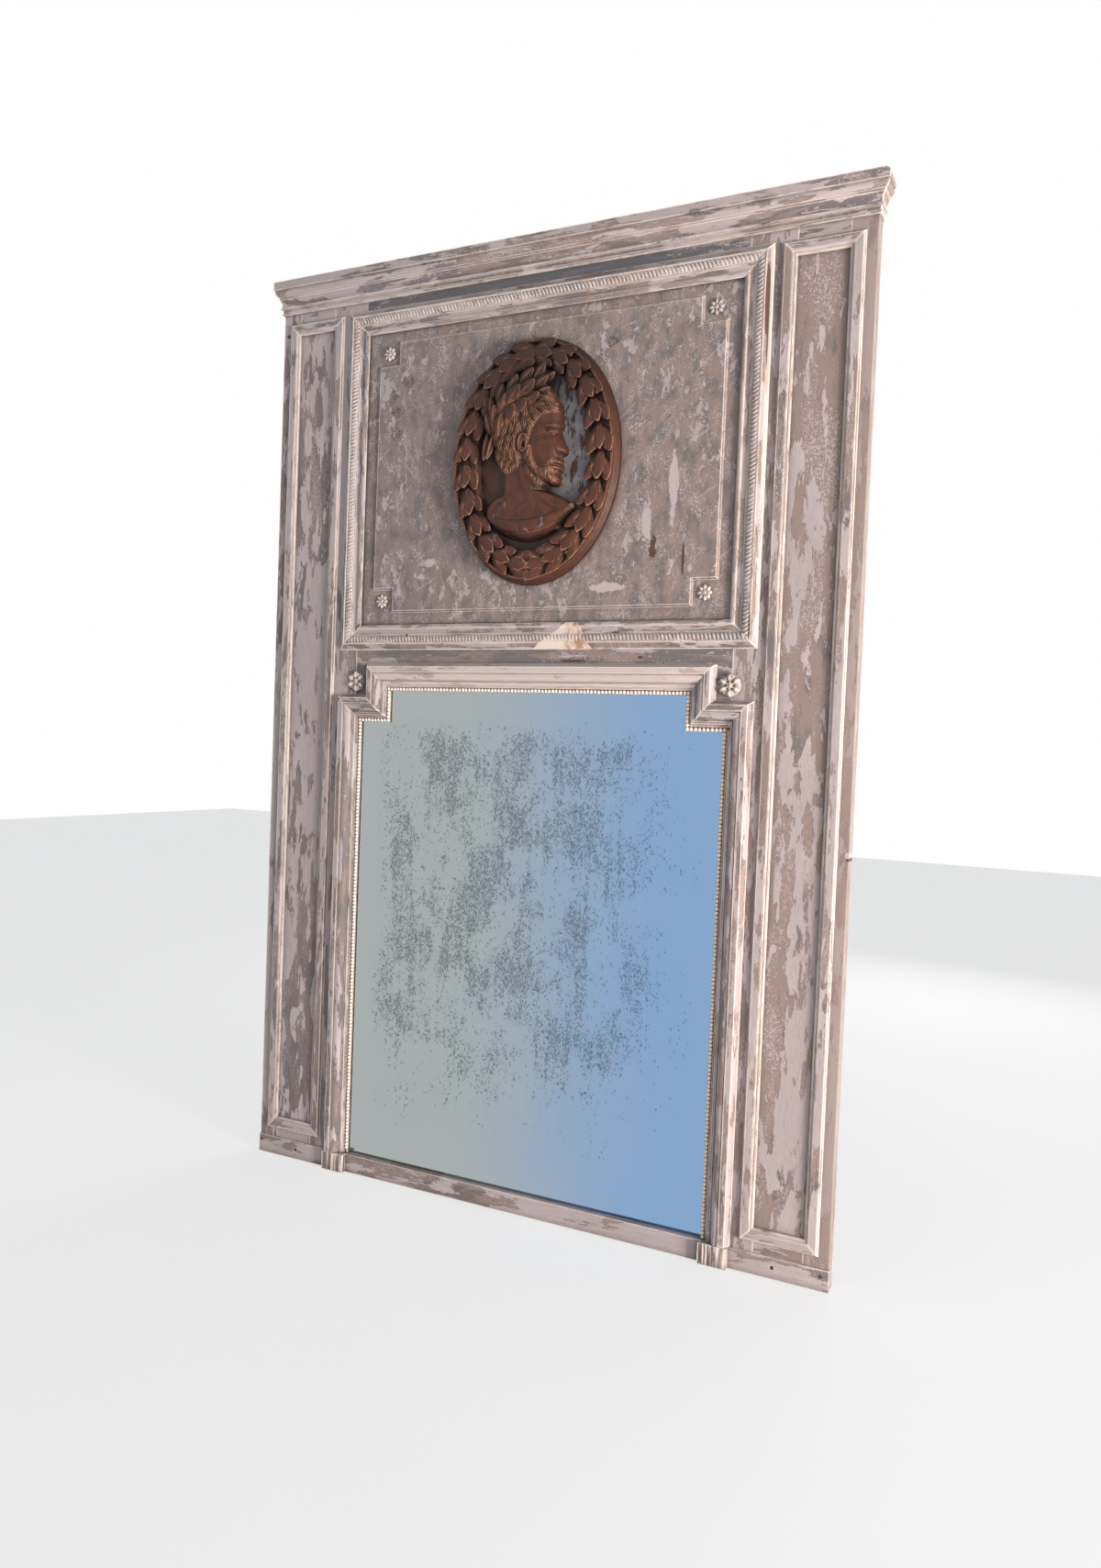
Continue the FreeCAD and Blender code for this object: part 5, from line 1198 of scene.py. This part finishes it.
class TRUMEAU_OT_bust(bpy.types.Operator):
    """Crowned head in relief over a draped shoulder"""
    bl_idname = "trumeau.bust"
    bl_label = "Bust"

    LEAVES = [
        # x and z from the medallion's middle, height, turn from upright, length, width
        (-104, 34, 28, -176, 64, 19), (-88, 30, 36, -169, 58, 18), (-96, 74, 33, -14, 46, 22),
        (-94, 108, 29, 2, 46, 22), (-80, 86, 42, 4, 50, 25), (-62, 66, 48, 8, 46, 25),
        (-72, 132, 33, 20, 46, 24), (-58, 106, 45, 22, 54, 29), (-38, 84, 51, 34, 48, 27),
        (-44, 150, 35, 40, 48, 25), (-34, 122, 48, 38, 56, 31), (-16, 98, 51, 52, 46, 26),
        (-12, 162, 36, 52, 50, 26), (-4, 134, 48, 54, 54, 28), (10, 114, 50, 66, 42, 23),
        (16, 166, 36, 40, 52, 25), (24, 144, 44, 62, 48, 24), (34, 128, 46, 80, 34, 17),
        (40, 156, 37, 70, 36, 18),
    ]

    def execute(self, context):
        s = context.scene.trumeau_carving
        field = Relief(s.head_third / MM, 1.15)
        field.head()
        field.neck()
        field.beard()
        field.ear()
        field.hair()
        field.robe()
        bm = bmesh.new()
        field.mesh(bm)
        rng = random.Random(17)
        for x, z, h, turn, length, width in self.LEAVES:
            place = Vector((x * MM, FACE_Y - h * MM, MEDAL_Z + z * MM))
            matrix = (Matrix.Translation(place) @ Matrix.Rotation(math.radians(turn), 4, "Y")
                      @ Matrix.Rotation(math.radians(7), 4, "X"))
            leaf(bm, matrix, length * MM, width * MM, 5.0 * MM, 0.5, rng)
        front = FACE_Y - 55.9 * MM
        for vert in bm.verts:
            vert.co.y = max(vert.co.y, front)
        piece("bust_carved", bm, bpy.data.materials["stained_carving"], ["bust_relief"])
        return {"FINISHED"}


CLASSES = (TrumeauPaint, TrumeauCarving, TrumeauTrim, TrumeauGlass, TrumeauStage,
           TRUMEAU_OT_stage, TRUMEAU_OT_carcase, TRUMEAU_OT_worn_corner, TRUMEAU_OT_glass, TRUMEAU_OT_back, TRUMEAU_OT_pearls,
           TRUMEAU_OT_ribbon, TRUMEAU_OT_rosettes, TRUMEAU_OT_wreath, TRUMEAU_OT_bust)
STEPS = ("stage", "carcase", "worn_corner", "glass", "back", "pearls", "ribbon", "rosettes", "wreath", "bust")


class TRUMEAU_PT_panel(bpy.types.Panel):
    """Lists the steps and their settings"""
    bl_label = "Trumeau mirror"
    bl_idname = "TRUMEAU_PT_panel"
    bl_space_type = "VIEW_3D"
    bl_region_type = "UI"
    bl_category = "Trumeau"

    def draw(self, context):
        for step in STEPS:
            self.layout.operator("trumeau." + step)
        for group in ("paint", "carving", "trim", "glass", "stage"):
            settings = getattr(context.scene, "trumeau_" + group)
            box = self.layout.box()
            for name in settings.__annotations__:
                box.prop(settings, name)


def register():
    for cls in CLASSES + (TRUMEAU_PT_panel,):
        bpy.utils.register_class(cls)
    scene = bpy.types.Scene
    scene.trumeau_paint = bpy.props.PointerProperty(type=TrumeauPaint)
    scene.trumeau_carving = bpy.props.PointerProperty(type=TrumeauCarving)
    scene.trumeau_trim = bpy.props.PointerProperty(type=TrumeauTrim)
    scene.trumeau_glass = bpy.props.PointerProperty(type=TrumeauGlass)
    scene.trumeau_stage = bpy.props.PointerProperty(type=TrumeauStage)


def unregister():
    for group in ("paint", "carving", "trim", "glass", "stage"):
        delattr(bpy.types.Scene, "trumeau_" + group)
    for cls in reversed(CLASSES + (TRUMEAU_PT_panel,)):
        bpy.utils.unregister_class(cls)


def main():
    """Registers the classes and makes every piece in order."""
    register()
    for step in STEPS:
        getattr(bpy.ops.trumeau, step)()


if __name__ == "__main__":
    main()
